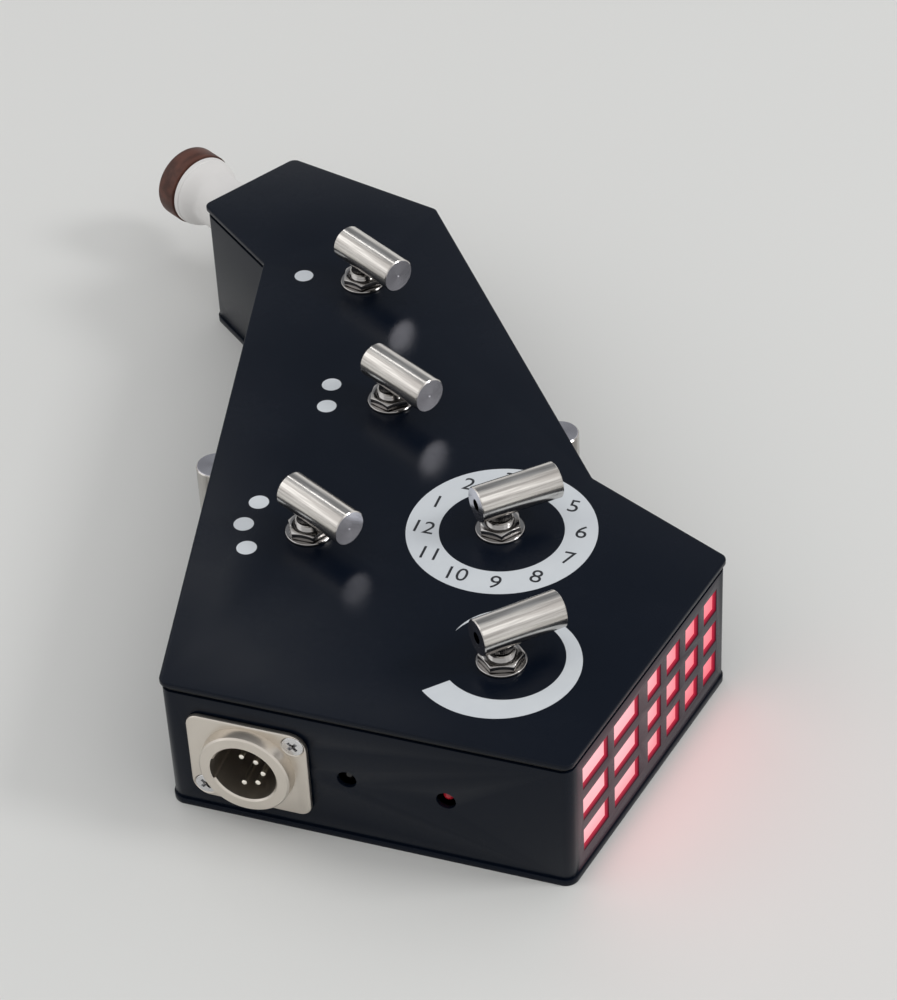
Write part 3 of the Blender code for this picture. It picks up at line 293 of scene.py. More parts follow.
class Look:
    """A material or a world; every node in it comes from the node method."""

    def __init__(self, name, shelf=None):
        self.material = (bpy.data.materials if shelf is None else shelf).new(name)
        self.material.use_nodes = True
        self.tree = self.material.node_tree
        self.tree.nodes.clear()

    def node(self, kind, settings=(), sockets=(), output=0):
        node = self.tree.nodes.new("ShaderNode" + kind)
        for key, value in dict(settings).items():
            setattr(node, key, value)
        for key, value in dict(sockets).items():
            if isinstance(value, Term):
                self.tree.links.new(value.socket, node.inputs[key])
            else:
                node.inputs[key].default_value = value
        if output is None:
            return node
        return Term(self, node.outputs[output])

    def coordinates(self, place=None):
        """Object coordinates, or with a place the coordinates in its own frame."""
        point = self.node("TexCoord", output="Object")
        if place is None:
            return point
        sockets = {"Vector": point, "Location": place.to_translation(), "Rotation": place.to_euler()}
        return self.node("Mapping", {"vector_type": "TEXTURE"}, sockets)

    def split(self, vector):
        first = self.node("SeparateXYZ", sockets={0: vector}, output=None)
        return [Term(self, output) for output in first.outputs]

    def join(self, x, y, z):
        return self.node("CombineXYZ", sockets={0: x, 1: y, 2: z})

    def noise(self, vector, scale, detail=3.0, roughness=0.5):
        """Soft noise about a half; the scale is in lumps a metre."""
        sockets = {"Vector": vector, "Scale": scale, "Detail": detail, "Roughness": roughness}
        return self.node("TexNoise", sockets=sockets)

    def between(self, value, low, high, first=0.0, last=1.0):
        """The value, eased from first to last as it goes from low to high."""
        settings = {"interpolation_type": "SMOOTHSTEP"}
        sockets = {0: value, 1: low, 2: high, 3: first, 4: last}
        return self.node("MapRange", settings, sockets)

    def fading(self, value, low, high):
        return self.between(value, low, high, 1.0, 0.0)

    def mix(self, factor, first, second):
        """Two colours mixed by a factor."""
        sockets = {0: factor, 6: opaque(first), 7: opaque(second)}
        return self.node("Mix", {"data_type": "RGBA"}, sockets, output=2)

    def bump(self, height, depth, strength=1.0):
        sockets = {"Height": height, "Distance": depth, "Strength": strength}
        return self.node("Bump", sockets=sockets)

    def finish(self, colour, roughness, metallic=0.0, normal=None, specular=0.5, glow=None, strength=1.0):
        sockets = {
            "Base Color": opaque(colour),
            "Roughness": roughness,
            "Metallic": metallic,
            "Specular IOR Level": specular,
        }
        if normal is not None:
            sockets["Normal"] = normal
        if glow is not None:
            sockets["Emission Color"] = glow
            sockets["Emission Strength"] = strength
        shader = self.node("BsdfPrincipled", sockets=sockets)
        self.node("OutputMaterial", sockets={"Surface": shader}, output=None)
        return self.material


# Finishes
def paint_coat(look, specular, **glow):
    """Satin black with a blue cast, fine grain and faint smudges from hands."""
    point = look.coordinates()
    smudge = look.noise(point, 28.0, 4.0, 0.55)
    grain = look.noise(point, 5200.0, 2.0)
    colour = look.mix(smudge, (0.0020, 0.0041, 0.0090), (0.0034, 0.0061, 0.0132))
    roughness = look.between(smudge, 0.3, 0.75, 0.22, 0.30) + (grain - 0.5) * 0.06
    relief = look.bump(grain, 0.01 * MM, 0.35)
    return look.finish(colour, roughness, normal=relief, specular=specular, **glow)


def panel_paint():
    return paint_coat(Look("black_satin_paint"), 0.14)


def wall_paint(place, length):
    """The same paint on the walls, with the lamps' light painted as a red glow in the thickness of the lit
    wall round its windows, and as a faint painted spill of light on its outer face.
    """
    look = Look("black_wall_paint_with_painted_glow")
    along, up, through = look.split(look.coordinates(place))
    start, full = GLOW_ENDS
    low, lit, last, high = GLOW_HEIGHTS
    inside = look.between(along, start, full) * look.fading(along, length - full, length - start)
    framed = inside * look.fading(up, last, high) * look.between(up, low, lit)
    cut = look.between(through, -3 * MM, -2 * MM) * look.fading(through, -0.16 * MM, -0.10 * MM)
    face = look.between(through, -0.05 * MM, 0.0) * look.fading(through, 0.05 * MM, 0.1 * MM)
    depth = look.fading(through, -WALL_THICKNESS, 0.0)
    # Painted glow: the lit wall's window reveals glow red, brighter towards the inner face
    edge = look.mix(depth, (0.10, 0.003, 0.010), (0.50, 0.018, 0.045))
    # Painted light: a faint pink spill of the lamps' light on the lit wall's outer face, stronger towards
    # its front end
    painted_light_spill = look.mix(look.between(along, 0.0, length), (0.042, 0.022, 0.026), (0.018, 0.014, 0.016))
    glow = look.mix(cut * framed, look.mix(face * inside, (0.0, 0.0, 0.0), painted_light_spill), edge)
    return paint_coat(look, 0.19, glow=glow)


def grained(name, grain, tones, roughness, spread, cloud=None, relief=None, **rest):
    """A finish with a fine grain in its roughness and relief, and a cloud or that grain in its colour."""
    look = Look(name)
    point = look.coordinates()
    fine = look.noise(point, *grain)
    soft = look.noise(point, *cloud) if cloud else fine
    if relief:
        rest["normal"] = look.bump(fine, *relief)
    return look.finish(look.mix(soft, *tones), roughness + fine * spread, **rest)


def print_ink():
    """Screen-printed light grey ink, thin enough to show the paint's grain."""
    return grained(
        "pale_print_ink", (3800.0, 2.0), ((0.57, 0.60, 0.635), (0.63, 0.66, 0.685)), 0.42, 0.1,
        cloud=(160.0, 3.0), relief=(0.006 * MM, 0.3), specular=0.2,
    )


def number_ink():
    tones = ((0.006, 0.008, 0.012), (0.011, 0.013, 0.018))
    return grained("dark_print_ink", (3800.0, 2.0), tones, 0.38, 0.08)


def drawn_aluminium(name, place, size, shade=1.0):
    """Drawn bar with faint streaks along it, tool rings and a painted sunburst highlight on its faced ends,
    and painted shade in the grub screw's bore; its axis is z.
    """
    look = Look(name)
    x, y, z = look.split(look.coordinates(place))
    radius = (x * x + y * y) ** 0.5
    side = look.between(radius, 0.94 * size / 2, 0.96 * size / 2)
    streaks = look.noise(look.join(x, y, z * 0.04), 700.0, 4.0, 0.6)
    scratches = look.noise(look.join(x, y, z * 0.02), 4200.0, 2.0)
    turning = {"W": radius, "Scale": 3200.0, "Detail": 3.0}
    rings = look.node("TexNoise", {"noise_dimensions": "1D"}, turning)
    tones = ((0.44, 0.415, 0.39), (0.78, 0.75, 0.71), (0.50, 0.49, 0.53), (0.84, 0.825, 0.88))
    # A shade below one gives a darker copy of this finish: painted shade
    dark, light, rings_and_painted_sunburst_dark, rings_and_painted_sunburst_light = (tuple(shade * part for part in tone) for tone in tones)
    drawn = look.mix(look.between(streaks, 0.36, 0.64), dark, light)
    # Painted highlight: a sunburst across the faced ends, lighter above and below the axis
    painted_sunburst_highlight = x * x / (radius * radius + 0.001 * MM * MM)
    # The faced ends' tone mixes the real tool rings with the painted sunburst highlight
    faced = look.mix(rings * 0.5 + painted_sunburst_highlight * 0.5, rings_and_painted_sunburst_dark, rings_and_painted_sunburst_light)
    # Painted shade: the grub screw's bore at the short end is coloured almost black
    bore = look.fading(radius, GRUB_HOLE / 2, 1.1 * GRUB_HOLE / 2) * look.fading(z, -MM, 0.0)
    colour = look.mix(bore, look.mix(side, faced, drawn), (0.03, 0.03, 0.033))
    roughness = look.between(side, 0.0, 1.0, 0.09, 0.13) + scratches * 0.07 + streaks * 0.05
    metallic = look.between(z, -MM, MM, 1.0, 0.8) * (1 - side) + side
    marks = side * (streaks * 0.06 + scratches * 0.03) + (1 - side) * rings * 0.12
    return look.finish(colour, roughness, metallic, look.bump(marks, 0.06 * MM, 0.9))


def plated_steel(name="bright_plated_steel", colour=(0.42, 0.405, 0.395), low=0.10, high=0.22):
    """Bright plating with fine scratches."""
    look = Look(name)
    point = look.coordinates()
    scratch = look.noise(point, 900.0, 5.0, 0.7)
    cloud = look.noise(point, 240.0, 2.0)
    darker = tuple(0.82 * part for part in colour)
    shade = look.mix(cloud, darker, colour)
    roughness = look.between(scratch, 0.3, 0.7, low, high)
    return look.finish(shade, roughness, 1.0, look.bump(scratch, 0.006 * MM, 0.3))


def nickel_casting():
    """The connector's die-cast shell: warm satin nickel with a fine cast grain."""
    return grained(
        "satin_nickel", (3000.0, 3.0, 0.6), ((0.66, 0.61, 0.545), (0.74, 0.685, 0.615)), 0.27, 0.15,
        cloud=(180.0, 3.0), relief=(0.02 * MM, 0.5), metallic=1.0,
    )


def black_insert():
    return grained(
        "black_insert", (2600.0, 2.0), ((0.012, 0.007, 0.006), (0.020, 0.013, 0.011)), 0.45, 0.1,
        relief=(0.01 * MM, 0.3), specular=0.15,
    )


def gold_plate():
    tones = ((0.90, 0.86, 0.76), (0.96, 0.94, 0.88))
    return grained("gold_plate", (2400.0, 2.0), tones, 0.16, 0.1, metallic=1.0)


def lit_acrylic(place, length):
    """Opal acrylic with lamps behind it: paler near the front, redder to the back."""
    look = Look("lit_opal_acrylic")
    along, up = look.split(look.coordinates(place))[:2]
    redder = look.between(along, 0.25 * length, 0.9 * length)
    cloud = look.noise(look.coordinates(), 120.0, 2.0)
    low = look.between(up, 4 * MM, 14 * MM, 0.82, 1.0)
    glow = look.mix(redder, (0.86, 0.50, 0.53), (0.87, 0.24, 0.28))
    shaded = look.mix(low * (0.9 + cloud * 0.2), (0.35, 0.01, 0.03), glow)
    return look.finish((0.30, 0.05, 0.06), 0.4 + cloud * 0.1, glow=shaded)


def lens(name, first, second, glow):
    look = Look(name)
    cloud = look.noise(look.coordinates(), 800.0, 2.0)
    colour = look.mix(cloud, first, second)
    return look.finish(colour, 0.08 + cloud * 0.04, glow=colour, strength=glow)


def circuit_board(name, mask, bright):
    """Solder mask over fine tracks."""
    look = Look(name)
    point = look.coordinates()
    x, y, z = look.split(point)
    tracks = look.noise(look.join(x, y * 0.2, z), 500.0, 0.0)
    track = look.between(tracks, 0.5, 0.53)
    colour = look.mix(track, mask, bright)
    return look.finish(colour, 0.35 + track * 0.1)


def cup_satin():
    """Off-white satin coat over turned metal."""
    return grained(
        "cup_satin_coat", (2400.0, 3.0), ((0.66, 0.645, 0.635), (0.73, 0.715, 0.70)), 0.36, 0.1,
        cloud=(90.0, 3.0), relief=(0.01 * MM, 0.35),
    )


def ring_wood(place):
    """Oiled reddish wood; its grain runs across the ring."""
    look = Look("oiled_ring_wood")
    x, y, z = look.split(look.coordinates(place))
    stretched = look.join(x * 0.18, y, z)
    figure = look.noise(stretched, 340.0, 4.0, 0.5)
    pores = look.noise(look.join(x * 0.06, y, z), 3800.0, 2.0)
    pore = look.between(pores, 0.62, 0.7)
    warm = look.mix(look.between(figure, 0.3, 0.7), (0.050, 0.018, 0.012), (0.102, 0.038, 0.026))
    colour = look.mix(pore * 0.35, warm, (0.018, 0.008, 0.006))
    height = figure * 0.4 - pore * 0.8
    return look.finish(colour, 0.38 + figure * 0.15, normal=look.bump(height, 0.05 * MM, 0.5), specular=0.3)


def seal_rubber():
    tones = ((0.007, 0.007, 0.008), (0.012, 0.012, 0.013))
    return grained("seal_rubber", (1800.0, 3.0), tones, 0.7, 0.15, relief=(0.03 * MM, 0.4))


# Outlines and places
CORNERS = [FRONT_LEFT]
for wall_length, heading in WALLS.values():
    wall_turn = Vector((cos(radians(heading)), sin(radians(heading))))
    CORNERS.append(CORNERS[-1] + wall_turn * wall_length)


def shift(x, y, z=0.0):
    return Matrix.Translation((x, y, z))


def wall_line(name):
    """A wall's first corner, direction, outward normal and length."""
    index = WALL_NAMES.index(name)
    start = CORNERS[index]
    run = CORNERS[(index + 1) % len(CORNERS)] - start
    along = run.normalized()
    return start, along, Vector((along.y, -along.x)), run.length


def wall_place(name, along, height):
    """A frame on a wall's outer face: x along the wall, y up, z outwards."""
    start, direction, outward, length = wall_line(name)
    distance = along if along >= 0 else length + along
    point = start + direction * distance - outward * OVERHANG
    return Matrix((
        (direction.x, 0.0, outward.x, point.x),
        (direction.y, 0.0, outward.y, point.y),
        (0.0, 1.0, 0.0, height),
        (0.0, 0.0, 0.0, 1.0),
    ))


def heights(node):
    low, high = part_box(node)
    return low.z, high.z


# Solids
def outline_face(rounding_out, rounding_in, inwards=0.0):
    """The housing's outline as one face, moved inwards and then rounded at its corners."""
    work = bmesh.new()
    corners = [work.verts.new((point.x, point.y, 0.0)) for point in CORNERS]
    face = work.faces.new(corners)
    work.normal_update()
    if inwards:
        bmesh.ops.delete(work, geom=inset(work, face, inwards), context="FACES")
        face = work.faces[:][0]
        corners = list(face.verts)
        corners.sort(key=nearest_corner)
    turns = []
    for before, corner, after in zip(corners[-1:] + corners, corners, corners[1:] + corners):
        turns.append(pi - (before.co - corner.co).angle(after.co - corner.co))
    for name, corner, turn in zip(WALL_NAMES, corners, turns):
        radius = rounding_in if name in HOLLOW_CORNERS else rounding_out
        bevel(work, [corner], radius * tan(turn / 2), CORNER_STEPS)
    return work


def inset(work, face, width):
    """The border that is left round a face when it shrinks."""
    return bmesh.ops.inset_region(
        work, faces=[face], thickness=width, use_even_offset=True, use_boundary=True,
    )["faces"]


def bevel(work, parts, width, segments, affect="VERTICES"):
    bmesh.ops.bevel(
        work, geom=parts, offset=width, offset_type="OFFSET", segments=segments, profile=0.5,
        affect=affect, material=-1, clamp_overlap=affect == "EDGES",
    )


def nearest_corner(vertex):
    flat = vertex.co.to_2d()
    return min(range(len(CORNERS)), key=lambda index: (CORNERS[index] - flat).length)


def raise_faces(work, low, high):
    """Flat faces made into a solid between two heights."""
    bmesh.ops.translate(work, verts=work.verts, vec=(0.0, 0.0, low))
    made = bmesh.ops.extrude_face_region(work, geom=work.faces[:])
    lifted = [item for item in made["geom"] if isinstance(item, bmesh.types.BMVert)]
    bmesh.ops.translate(work, verts=lifted, vec=(0.0, 0.0, high - low))
    bmesh.ops.recalc_face_normals(work, faces=work.faces)
    return work


def hollow_out(work, width):
    """The outline's one face turned into a border of this width."""
    work.normal_update()
    middle = work.faces[:][0]
    inset(work, middle, width)
    bmesh.ops.delete(work, geom=[middle], context="FACES")
    return work


def spun(profile, sides, closed=False):
    """A solid turned round z from points of radius and height."""
    work = bmesh.new()
    points = [work.verts.new((radius, 0.0, height)) for radius, height in profile]
    edges = [work.edges.new(pair) for pair in zip(points, points[1:])]
    if closed:
        edges.append(work.edges.new((points[-1], points[0])))
    spin(work, points + edges, 2 * pi, sides)
    bmesh.ops.remove_doubles(work, verts=work.verts, dist=SAME)
    bmesh.ops.recalc_face_normals(work, faces=work.faces)
    return work


def spin(work, parts, angle, steps, merge=True):
    bmesh.ops.spin(
        work, geom=parts, cent=(0.0, 0.0, 0.0), axis=(0.0, 0.0, 1.0), angle=angle, steps=steps,
        use_merge=merge,
    )


def side_profile(radius, low, high, chamfer):
    """The side of a cylinder with two chamfers, from its top down."""
    return [
        (radius - chamfer, high), (radius, high - chamfer),
        (radius, low + chamfer), (radius - chamfer, low),
    ]


def dome(radius, depth, tip, steps):
    """A rounded tip, from its middle to its side."""
    angles = [pi / 2 * step / steps for step in range(1, steps + 1)]
    return [(0.0, tip)] + [(radius * sin(angle), tip - depth * (1 - cos(angle))) for angle in angles]


def rod(radius, low, high, sides=ROD_SIDES, centre=(0.0, 0.0), work=None, top=None):
    """A round rod, or with another radius at its top a cone."""
    work = work or bmesh.new()
    matrix = shift(*centre, (low + high) / 2)
    bmesh.ops.create_cone(
        work, cap_ends=True, segments=sides, radius1=radius, radius2=radius if top is None else top,
        depth=high - low, matrix=matrix,
    )
    return work


def block(spans, work=None):
    work = work or bmesh.new()
    size = [high - low for low, high in spans]
    centre = [(high + low) / 2 for low, high in spans]
    matrix = shift(*centre) @ Matrix.Diagonal((*size, 1.0))
    bmesh.ops.create_cube(work, size=1.0, matrix=matrix)
    return work


def placed(work, place):
    bmesh.ops.transform(work, matrix=place, verts=work.verts)
    return work


def as_mesh(work, name):
    mesh = bpy.data.meshes.new(name)
    work.to_mesh(mesh)
    work.free()
    return mesh


def add_object(name, data):
    thing = bpy.data.objects.new(name, data)
    bpy.context.scene.collection.objects.link(thing)
    return thing


def combined(work, tool, operation="DIFFERENCE"):
    """The first solid cut by, joined to or kept within the second one."""
    blank = add_object("blank", as_mesh(work, "blank"))
    cutter = add_object("tool", as_mesh(tool, "tool"))
    boolean = blank.modifiers.new("cut", "BOOLEAN")
    boolean.operation = operation
    boolean.solver = "EXACT"
    boolean.object = cutter
    return taken_from([blank, cutter], SAME)


def taken_from(things, same):
    """The first object's final mesh; all of the objects are removed."""
    bpy.context.view_layer.update()
    evaluated = things[0].evaluated_get(bpy.context.evaluated_depsgraph_get())
    work = bmesh.new()
    work.from_mesh(evaluated.to_mesh())
    for thing in things:
        bpy.data.objects.remove(thing, do_unlink=True)
    bmesh.ops.remove_doubles(work, verts=work.verts, dist=same)
    return work


def eased(work, width, segments=2, angle=radians(30)):
    """The solid with its sharp edges rounded."""
    joined = [edge for edge in work.edges if len(edge.link_faces) == 2]
    sharp = [edge for edge in joined if edge.calc_face_angle() > angle]
    bevel(work, sharp, width, segments, "EDGES")
    return work


def add_piece(name, work, finish, nodes=(), body="housing", smooth=radians(32)):
    """A finished piece of the object, in place of the nodes that it stands for."""
    mesh = as_mesh(work, name)
    mesh.shade_smooth()
    mesh.set_sharp_from_angle(angle=smooth)
    mesh.materials.append(finish)
    piece = add_object(name, mesh)
    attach(piece, body)
    if nodes:
        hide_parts(*nodes)
    return piece


def dress(node, finish):
    frame["nodes"][node].material_slots[0].material = finish


# Housing
def window_blocks():
    """Solids that cut the lit wall's windows, in the wall's own frame."""
    windows = bmesh.new()
    kinds = (
        (WINDOW_START, WINDOW_COLUMNS, WINDOW, WINDOW_PITCH),
        (WIDE_START, WIDE_COLUMNS, WIDE_WINDOW, WIDE_WINDOW + WINDOW_PITCH - WINDOW),
    )
    for row in range(WINDOW_ROWS):
        middle = WINDOW_MIDDLE + (row - (WINDOW_ROWS - 1) / 2) * WINDOW_PITCH
        upright = (middle - WINDOW / 2, middle + WINDOW / 2)
        for start, columns, width, pitch in kinds:
            for column in range(columns):
                left = start + column * pitch
                through = (-2 * WALL_THICKNESS, 2 * WALL_THICKNESS)
                block(((left, left + width), upright, through), windows)
    return windows


def make_wall_strip(paint):
    strip = hollow_out(outline_face(BEND_OUTSIDE, BEND_INSIDE, OVERHANG), WALL_THICKNESS)
    raise_faces(strip, *heights("wall_frame"))
    strip = combined(strip, placed(window_blocks(), wall_place("light", 0.0, 0.0)))
    deep = 3 * WALL_THICKNESS
    centre = (CONNECTOR_ALONG, CONNECTOR_HEIGHT)
    front = rod(BARREL_DIAMETER / 2 + SEAT, -deep, deep, SHAFT_SIDES, centre)
    for along in INDICATORS.values():
        rod(INDICATOR_HOLE / 2, -deep, deep, SCREW_SIDES, (along, INDICATOR_HEIGHT), front)
    for side in (1, -1):
        centre = Vector((CONNECTOR_ALONG, CONNECTOR_HEIGHT)) + CONNECTOR_SCREW * side
        rod(SCREW_SHANK / 2 + FIT, -deep, deep, HOLE_SIDES, centre, front)
    strip = combined(strip, placed(front, wall_place("front", 0.0, 0.0)))
    for wall, along in GRIPS.values():
        spigot = rod(GRIP_SPIGOT / 2 + FIT, -deep, deep)
        strip = combined(strip, placed(spigot, wall_place(wall, along, GRIP_BOTTOM + GRIP_LENGTH / 2)))
    stem = rod(STEM_DIAMETER / 2 + FIT, -deep, deep, SHAFT_SIDES)
    strip = combined(strip, placed(stem, wall_place("mouth", MOUTH_ALONG, MOUTH_HEIGHT)))
    add_piece("wall_strip", eased(strip, CUT_EDGE), paint, ["wall_frame"])


def make_panel(paint):
    low, high = heights("top_panel")
    panel = raise_faces(outline_face(PANEL_CORNER, PANEL_CORNER), low, high)
    eased(panel, EDGE, 3, radians(60))
    holes = bmesh.new()
    for name in CONTROLS:
        centre = control_axis(name).to_2d()
        rod(BUSH_DIAMETER / 2 + FIT, low - high, 2 * high, ROD_SIDES, centre, holes)
    panel = combined(panel, holes)
    add_piece("panel_sheet", panel, paint, ["top_panel"])


def make_seal(rubber):
    seal = outline_face(BEND_OUTSIDE - SEAL_RECESS, BEND_INSIDE + SEAL_RECESS, OVERHANG + SEAL_RECESS)
    seal = raise_faces(hollow_out(seal, SEAL_WIDTH), *heights("top_seal"))
    add_piece("seal_strip", eased(seal, CUT_EDGE), rubber, ["top_seal"])


def middle_of(node):
    low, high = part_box(node)
    return (low + high) / 2


def make_base(paint, steel):
    low, high = heights("bottom_plate")
    plate = eased(raise_faces(outline_face(BASE_CORNER, BASE_CORNER), low, high), CUT_EDGE)
    sinks = bmesh.new()
    slope = (BASE_SCREW_HEAD - SCREW_SHANK) / 2
    wide, narrow = BASE_SCREW_HEAD / 2 + FIT + slope / 2, SCREW_SHANK / 2 + FIT - slope / 2
    bottom, top = HEAD_SINK - slope / 2, HEAD_SINK + 1.5 * slope
    screws = [name for name in frame["nodes"] if name.endswith("_base_screw")]
    for node in screws:
        rod(wide, bottom, top, SCREW_SIDES, middle_of(node).to_2d(), sinks, narrow)
    add_piece("base_sheet", combined(plate, sinks), paint, ["bottom_plate"])
    for node in screws:
        recess = rod(BASE_SCREW_HEX, -BASE_SCREW_RECESS, BASE_SCREW_RECESS, HEX)
        place = shift(*middle_of(node).to_2d(), HEAD_SINK) @ Matrix.Rotation(pi, 4, "X")
        screw = placed(sunk_screw(BASE_SCREW_HEAD, [recess]), place)
        add_piece(node + "_turned", screw, steel, [node])


def sunk_screw(head, recesses):
    """A countersunk screw with its head's face at z 0, its recess cut by one or more solids."""
    slope = (head - SCREW_SHANK) / 2
    profile = [
        (0.0, 0.0), (head / 2 - HEAD_EDGE, 0.0), (head / 2, -HEAD_EDGE),
        (SCREW_SHANK / 2, -slope), (SCREW_SHANK / 2, -SCREW_LENGTH), (0.0, -SCREW_LENGTH),
    ]
    screw = spun(profile, SCREW_SIDES)
    for recess in recesses:
        screw = combined(screw, recess)
    return screw


# Controls
def control_axis(name):
    for joint in frame["joints"]:
        if joint["name"] == name + "_turn":
            return Vector(joint["pos_m"])


def axis_place(name):
    axis = control_axis(name)
    return shift(axis.x, axis.y)


def bar_place(name):
    """A frame on the bar's axis: z along the bar to its long end."""
    axis = control_axis(name)
    arm = middle_of(name + "_knob") - axis
    lift = shift(axis.x, axis.y, axis.z + BAR_AXIS_HEIGHT)
    return lift @ Matrix.Rotation(atan2(arm.y, arm.x), 4, "Z") @ Matrix.Rotation(pi / 2, 4, "Y")


def make_bar(name, black):
    far = BAR_LENGTH - BAR_SHORT_END
    profile = [(0.0, far - CENTRE_DEPTH), (CENTRE_MARK, far)]
    profile += side_profile(BAR_DIAMETER / 2, -BAR_SHORT_END, far, BAR_CHAMFER)
    profile.append((0.0, -BAR_SHORT_END))
    place = bar_place(name)
    bar = placed(spun(profile, BAR_SIDES), place)
    bar = combined(bar, placed(rod(GRUB_HOLE / 2, -BAR_DIAMETER, -SHAFT_DIAMETER / 2), place))
    bore = rod(SHAFT_DIAMETER / 2 + FIT, 0.0, BAR_AXIS_HEIGHT + BORE_TOP, SHAFT_SIDES)
    bar = combined(bar, placed(bore, shift(*control_axis(name))))
    body = name + "_control"
    metal = drawn_aluminium(name + "_bar_metal", place, BAR_DIAMETER)
    add_piece(name + "_bar", bar, metal, [name + "_knob"], body)
    top = -BAR_SHORT_END + GRUB_DEPTH
    grub = rod(GRUB_HOLE / 2 - GRUB_GAP, top, -SHAFT_DIAMETER / 2 - GRUB_END)
    grub = combined(grub, rod(GRUB_HEX / 2, top - GRUB_HEX, top + GRUB_HEX, HEX))
    grub = placed(eased(grub, GRUB_EDGE), place)
    add_piece(name + "_grub_screw", grub, black, body=body)


def make_shaft(name, steel):
    """A splined shaft, its teeth drawn in from a round rod."""
    low, high = heights(name + "_shaft")
    shaft = rod(SHAFT_DIAMETER / 2, low, high, 2 * SHAFT_TEETH)
    hollows = []
    for vertex in shaft.verts:
        step = round(atan2(vertex.co.y, vertex.co.x) / (pi / SHAFT_TEETH))
        if step % 2:
            hollows.append(vertex)
    share = 1 - 2 * TOOTH_DEPTH / SHAFT_DIAMETER
    bmesh.ops.scale(shaft, vec=(share, share, 1.0), verts=hollows)
    placed(shaft, axis_place(name))
    add_piece(
        name + "_splined_shaft", shaft, steel, [name + "_shaft"], body=name + "_control",
        smooth=radians(20),
    )


def make_can(name, steel):
    """A potentiometer or switch: can, terminals and threaded bush."""
    node = name + ("_switch" if name == "selector" else "_potentiometer")
    can = (SWITCH_CAN if name == "selector" else POT_CAN) / 2
    bottom = heights(node)[0]
    panel_top = control_axis(name).z
    can_top = heights("top_panel")[0] - SEAT
    can_bottom = heights("main_board")[1] + SEAT
    bush = BUSH_DIAMETER / 2
    bore = SHAFT_DIAMETER / 2 + BUSH_GAP
    top = panel_top + BUSH_HEIGHT
    floor = can_top - SHAFT_IN_CAN
    profile = [(0.0, floor), (bore, floor), (bore, top), (bush - THREAD_DEPTH, top)]
    height = top - THREAD_START
    while height - THREAD_PITCH > panel_top:
        profile += [(bush, height), (bush - THREAD_DEPTH, height - THREAD_PITCH / 2)]
        height -= THREAD_PITCH
    profile += [(bush, height), (bush, can_top), (can - CAN_EDGE, can_top), (can, can_top - CAN_EDGE)]
    profile += [(can, can_bottom), (0.0, can_bottom)]
    pins = bmesh.new()
    for step in (-1, 0, 1):
        centre = (step * TERMINAL_SPACING, TERMINAL_INSET - can)
        rod(TERMINAL_DIAMETER / 2, bottom, can_bottom + TERMINAL_ROOT, PIN_SIDES, centre, pins)
    body = placed(combined(spun(profile, SHAFT_SIDES), pins, "UNION"), axis_place(name))
    add_piece(name + "_threaded_can", body, steel, [node], smooth=radians(25))


def hex_nut(across, low, high, bore):
    """A nut with eased corners on both faces."""
    corner = across / 2 / cos(pi / HEX)
    blank = rod(corner, low, high, HEX)
    reach = corner * 1.1
    face = across / 2 * NUT_FACE
    drop = (reach - face) * tan(NUT_SLOPE)
    profile = [
        (0.0, high), (face, high), (reach, high - drop), (reach, low + drop / 2),
        (across / 2 * NUT_UNDERSIDE, low), (0.0, low),
    ]
    nut = combined(blank, spun(profile, NUT_SIDES), "INTERSECT")
    wide = bore + NUT_EASE
    hole = [
        (0.0, high), (wide, high), (bore, high - NUT_EASE),
        (bore, low + NUT_EASE), (wide, low), (0.0, low),
    ]
    middle = (low + high) / 2
    stretched = [(radius, middle + (height - middle) * 1.02) for radius, height in hole]
    return combined(nut, spun(stretched, SHAFT_SIDES))


def nut_heading(name):
    """The way that one corner of a nut points in the CAD."""
    axis = control_axis(name).to_2d()
    spokes = [vertex.co.to_2d() - axis for vertex in frame["nodes"][name + "_nut"].data.vertices]
    corner = max(spokes, key=lambda spoke: spoke.length)
    return atan2(corner.y, corner.x)


def make_nut_and_washer(name, steel):
    place = axis_place(name)
    bore = BUSH_DIAMETER / 2 + FIT
    low, high = heights(name + "_nut")
    nut = eased(hex_nut(NUT_ACROSS, low, high, bore), NUT_EDGE)
    turned = place @ Matrix.Rotation(nut_heading(name) - pi / 2, 4, "Z")
    add_piece(name + "_hex_nut", placed(nut, turned), steel, [name + "_nut"])
    near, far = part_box(name + "_washer")
    outer, low, high = (far.x - near.x) / 2, near.z, far.z
    eased_height = high - WASHER_EASE
    profile = [
        (bore, low), (bore, eased_height), (bore + WASHER_EASE, high), (outer - WASHER_EASE, high),
        (outer, eased_height), (outer, low),
    ]
    washer = spun(profile, NUT_SIDES, closed=True)
    add_piece(name + "_flat_washer", placed(washer, place), steel, [name + "_washer"])


